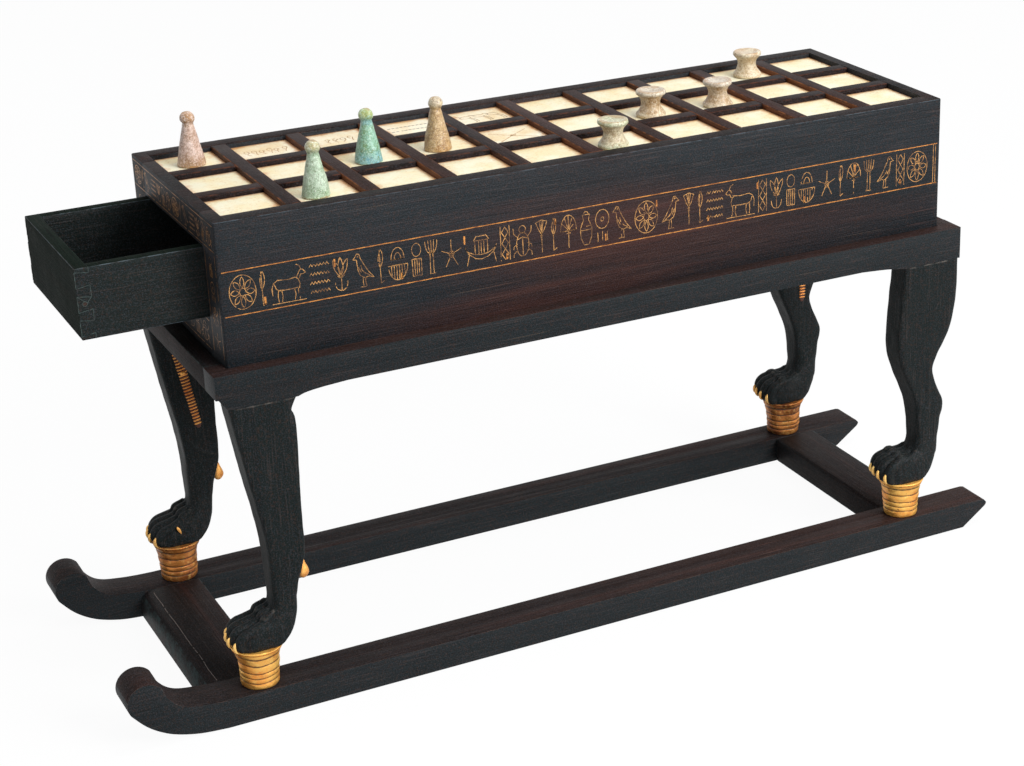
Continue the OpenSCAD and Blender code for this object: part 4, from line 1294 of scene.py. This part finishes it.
def inlaid(name, strokes, width, lay, body, material, slot="gilt", seed=0, lost=0.1, loose=1.0):
    """Flat ribbons along strokes given in millimetres. lay puts a flat point on the wood, lost says how much
    is worn away, and loose how unsteady the hand is."""
    chance = random.Random(seed)
    verts, faces = [], []
    for stroke in strokes:
        points = thin(stroke, STROKE_STEP)
        along = np.gradient(points, axis=0)
        along /= np.maximum(np.linalg.norm(along, axis=1), 1e-6)[:, None]
        phase = chance.random() * 50
        last = None
        for k, (point, way) in enumerate(zip(points, along)):
            thick = width / 2 * (0.9 + 0.5 * loose * noise.noise(Vector((k * 0.35 + phase, phase, 0))))
            wander = 0.14 * loose * noise.noise(Vector((k * 0.12, phase, 4)))
            across = np.array((-way[1], way[0]))
            if noise.noise(Vector((k * 0.16 + phase * 3, 7, phase))) > 0.62 - lost:
                last = None
                continue
            first = len(verts)
            verts.append(lay(*(point + across * (wander + thick))))
            verts.append(lay(*(point + across * (wander - thick))))
            if last is not None:
                faces.append((last, last + 1, first + 1, first))
            last = first
    mesh = bpy.data.meshes.new(name)
    mesh.from_pydata(verts, [], faces)
    link(name, mesh, body, slot, material)


# The line on the front crossbar lies this far in from its front, in mm
BAR_LINE_IN = 7.2


def make_bar_line():
    """The thin pale line along the top of the front crossbar, worn away in places."""
    low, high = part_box("crossbar_front")
    start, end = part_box("runner_near")[1].y / MM + 2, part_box("runner_far")[0].y / MM - 2

    def lay(along, across):
        return (low.x + (BAR_LINE_IN + across) * MM, along * MM, high.z + PROUD)

    sway = [(y, 0.7 * noise.noise(Vector((y * 0.05, 3, 0)))) for y in np.arange(start, end, 3)]
    inlaid("bar_line", [sway], 0.4, lay, "stand", WORN_LINE, "ebony", seed=41, lost=0.32)


def make_dovetail_lines():
    """The fine lines where the dovetails show on the outside of the drawer."""
    joint_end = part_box("drawer_front")[1].x + NEAR_ENOUGH
    for side, facing in (("near", -1), ("far", 1)):
        node = "drawer_side_" + side
        low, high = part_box(node)
        y = low.y if facing < 0 else high.y
        touching = 0.05 * MM
        joints = cleaned(node)
        strokes = []
        for edge in joints.edges:
            ends = [v.co for v in edge.verts]
            outside = all(abs(p.y - y) < touching and p.x < joint_end for p in ends)
            at_rim = all(min(abs(p.z - low.z), abs(p.z - high.z)) < touching for p in ends)
            if outside and not at_rim:
                strokes.append([(p.x / MM, p.z / MM) for p in ends])
        joints.free()

        def lay(x, z):
            return (x * MM, y + facing * PROUD, z * MM)

        inlaid("dovetail_lines_" + side, strokes, 0.34, lay, "drawer", JOINT_LINE, "ebony", seed=43, lost=0.1)


make_bar_line()
make_dovetail_lines()
# The heights of the two lines of the long bands above the floor, in mm
BAND_LOW, BAND_HIGH = 236.5, 261.5


def band_of(motifs, length, height, gap=2.0):
    """Lays motifs side by side, evened out to fill a length."""
    drawn = [motif() for motif in motifs]
    total = sum(w + gap for w, _ in drawn) - gap
    stretch = length / total
    strokes, x = [], 0.0
    for w, parts in drawn:
        strokes += [[((x + px) * stretch, pz * height / FIGURE_TALL) for px, pz in part] for part in parts]
        x += w + gap
    return strokes


def border_lines(length, low, high, inset=2):
    """The two lines that a band runs between."""
    return [[(inset, z), (length - inset, z)] for z in (low, high)]


def make_friezes():
    length = (TAIL_X - HEAD_X) / MM
    rows = border_lines(length, BAND_LOW, BAND_HIGH)
    figures = [[(x + 5, z + BAND_LOW + 2) for x, z in s] for s in band_of(FRIEZE, length - 14, FIGURE_TALL)]
    figures += [[(length - gap, BAND_LOW), (length - gap, BAND_HIGH)] for gap in (3.2, 4.8)]
    fills = [[(x, BAND_LOW + 3 + low), (x, BAND_LOW + 3 + high)] for x, low, high in FILLS]
    for side, y, turn in (("near", NEAR_Y - PROUD, 1), ("far", FAR_Y + PROUD, -1)):
        begin = HEAD_X if turn > 0 else TAIL_X

        def lay(x, z):
            return (begin + turn * x * MM, y, z * MM)

        inlaid("frieze_lines_" + side, rows, 0.58, lay, "box", GOLD_LINE, seed=1, lost=-0.3, loose=0.5)
        inlaid("frieze_" + side, figures, 0.44, lay, "box", GOLD_FIGURE, seed=2, lost=0.06, loose=1.3)
        inlaid("frieze_fills_" + side, fills, 1.1, lay, "box", GOLD_LINE, seed=6, lost=-0.3, loose=0.8)


# The figures down the posts beside the drawer and their heights above the floor. Then their scale, the width
# between the posts' lines, and where these start above the floor
POST_FIGURES = ((256, grid_block), (242, disc), (228, beetle), (214, star))
POST_SCALE, POST_WIDE, POST_FOOT = 0.58, 17, 212
# The band under the drawer: its two lines and the foot of its figures, in mm above the floor
UNDER_HIGH, UNDER_LOW, UNDER_FOOT = 227.5, 211, 213


def make_end_bands():
    """Bands above the drawer, down both posts and under it. On the tail end one band runs right across."""
    width = (FAR_Y - NEAR_Y) / MM
    top = BOARD_TOP / MM
    over = border_lines(width, top - 2.5, top - 17)
    over += [[(x + 5, z + top - 15.6) for x, z in s] for s in band_of(SHORT_BAND * 2, width - 10, 11.6)]
    posts = []
    for x in (2.5, width - 19.5):
        posts += [[(at, POST_FOOT), (at, top - 19)] for at in (x, x + POST_WIDE)]
        for z, motif in POST_FIGURES:
            w, parts = motif()
            posts += [[(x + POST_WIDE / 2 + (px - w / 2) * POST_SCALE, z + pz * POST_SCALE)
                       for px, pz in part] for part in parts]
    under = border_lines(width, UNDER_HIGH, UNDER_LOW, 24)
    under += [[(x + 26, z + UNDER_FOOT) for x, z in s] for s in band_of(SHORT_BAND, width - 52, 12.6)]

    def lay_head(x, z):
        return (HEAD_X - PROUD, FAR_Y - x * MM, z * MM)

    def lay_tail(x, z):
        return (TAIL_X + PROUD, NEAR_Y + x * MM, z * MM)

    inlaid("end_band_head", over + posts + under, 0.55, lay_head, "box", GOLD_DIM, seed=3, lost=0.16)
    tail = border_lines(width, BAND_LOW, BAND_HIGH)
    row = band_of(SHORT_BAND + [bird, disc], width - 10, FIGURE_TALL)
    tail += [[(x + 5, z + BAND_LOW + 2) for x, z in s] for s in row]
    inlaid("end_band_tail", tail, 0.85, lay_tail, "box", GOLD_LINE, seed=4, lost=0.08)


def wader(x):
    """A long-legged bird in a few strokes, its middle x millimetres along the square."""
    strokes = [bow(0, 3.6, 3.3, 2.5, -30, 300), [(-2.6, 4.8), (-3.2, 6.8), (-4.6, 7.4), (-5.6, 6.4)],
               [(1.6, 1.6), (3.0, -2.6), (3.4, -7.4), (2.2, -8.0)],
               [(2.8, 2.4), (4.6, -2.0), (5.0, -7.0), (3.9, -7.6)]]
    return [[(x + px, py) for px, py in s] for s in strokes]


def scribbles(count, pitch, tall, seed):
    """A row of small hooks and loops, no two alike."""
    chance = random.Random(seed)
    strokes = []
    for k in range(count):
        x = (k - (count - 1) / 2) * pitch + chance.uniform(-0.5, 0.5)
        y, start = chance.uniform(0.5, 2.5), chance.uniform(-60, 40)
        strokes.append(bow(x, y, pitch * 0.3, tall * 0.28, start, 250, 12))
        strokes.append([(x + pitch * 0.3, tall * 0.2), (x + chance.uniform(-1, 1.4), -tall * 0.2),
                        (x + chance.uniform(-1.5, 1.5), -tall * 0.55)])
    return strokes


def make_marks():
    """Marks on five squares: two rows of scribbles, two dashed rows, a cross and three wading birds."""
    dashes = [[(x, y), (x + 1.9, y)] for y in (-2.6, 5.0) for x in np.arange(-13.5, 12.5, 2.6)]
    cross = [[(-12, -9.6), (0, 0.6), (12, 9.4)], [(-12, 9.6), (0, -0.4), (12, -9.4)], bow(0, 0.2, 1.6, 1.5)]
    waders = wader(-9) + wader(0) + wader(9)
    drawings = [(scribbles(6, 4.6, 9, 2), INK_FAINT, 0.5), (scribbles(4, 4.8, 9, 7), INK_TAN, 0.55),
                (dashes, INK_DARK, 0.85), (cross, INK_FAINT, 0.5), (waders, INK, 0.55)]
    boxes = sorted(MARKED_BOXES, key=lambda b: (b[0].x, b[0].y))
    for number, ((low, high), (strokes, colour, width)) in enumerate(zip(boxes, drawings)):
        at = (low + high) / 2

        def lay(x, y):
            return (at.x + x * MM, at.y + y * MM, high.z + 0.03 * MM)

        inlaid("marks_%d" % (number + 1), strokes, width, lay, "box", colour, "ivory", number, 0.06)


make_friezes()
make_end_bands()
make_marks()


# Floor, world and lamps

# The floor's own grey, how much of its glow is seen, how bright that is, and the world's light
FLOOR_GREY, GLOW_SHARE, GLOW, WORLD_LIGHT = 0.40, 0.86, 1.10, 0.45
# For each lamp its place and size in metres and its power in watts. All point at the part's middle
LAMPS = [("key", (0.9, -1.8, 1.3), 1.2, 46), ("top", (0.5, -0.3, 2.1), 1.2, 15)]
LAMPS_AIM = Vector((0.02, 0, 0.17))


def seen_rays(tree):
    """1 for rays from the camera, a mirror or glass, 0 for those that carry light."""
    path = tree.nodes.new("ShaderNodeLightPath")
    seen = path.outputs["Is Camera Ray"]
    for kind in ("Is Glossy Ray", "Is Transmission Ray"):
        either = tree.nodes.new("ShaderNodeMath")
        either.operation = "MAXIMUM"
        tree.links.new(seen, either.inputs[0])
        tree.links.new(path.outputs[kind], either.inputs[1])
        seen = either.outputs[0]
    return seen


def make_floor():
    """White paper under the part, which takes its shadows."""
    bpy.ops.mesh.primitive_plane_add(size=30, location=(0, 0, -0.0005))
    floor = bpy.context.object
    floor.name = "floor"
    s = Shader("floor_paper")
    ray = Flow(s, seen_rays(s.tree))
    glow = s.node("ShaderNodeEmission", values={"Color": (1, 1, 1), "Strength": GLOW})
    s.finish(Base_Color=(FLOOR_GREY,) * 3, Roughness=1, Specular_IOR_Level=0)
    both = s.node("ShaderNodeMixShader", values={0: ray * GLOW_SHARE})
    mixer = both.socket.node
    s.tree.links.new(s.skin.outputs[0], mixer.inputs[1])
    s.tree.links.new(glow.socket, mixer.inputs[2])
    s.tree.links.new(mixer.outputs[0], s.out.inputs["Surface"])
    floor.data.materials.append(s.material)
    floor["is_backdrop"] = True


def make_world():
    """White where it is seen, and a soft bluish light on the part."""
    world = bpy.data.worlds.new("studio")
    bpy.context.scene.world = world
    world.use_nodes = True
    tree = world.node_tree
    tree.nodes.clear()
    out = tree.nodes.new("ShaderNodeOutputWorld")
    seen, light = tree.nodes.new("ShaderNodeBackground"), tree.nodes.new("ShaderNodeBackground")
    seen.inputs["Color"].default_value = (1, 1, 1, 1)
    seen.inputs["Strength"].default_value = 1.0
    light.inputs["Color"].default_value = (0.93, 0.96, 1, 1)
    light.inputs["Strength"].default_value = WORLD_LIGHT
    mix = tree.nodes.new("ShaderNodeMixShader")
    tree.links.new(seen_rays(tree), mix.inputs[0])
    tree.links.new(light.outputs[0], mix.inputs[1])
    tree.links.new(seen.outputs[0], mix.inputs[2])
    tree.links.new(mix.outputs[0], out.inputs["Surface"])


def make_lamps():
    for name, place, size, power in LAMPS:
        data = bpy.data.lights.new(name, "AREA")
        data.shape = "DISK"
        data.size = size
        data.energy = power
        lamp = bpy.data.objects.new(name, data)
        bpy.context.scene.collection.objects.link(lamp)
        lamp.location = place
        lamp.rotation_euler = (LAMPS_AIM - Vector(place)).to_track_quat("-Z", "Y").to_euler()


make_floor()
make_world()
make_lamps()
bpy.context.scene.view_settings.view_transform = "Standard"

for low, high in (cad_box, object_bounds()):
    list(low)
    list(high)
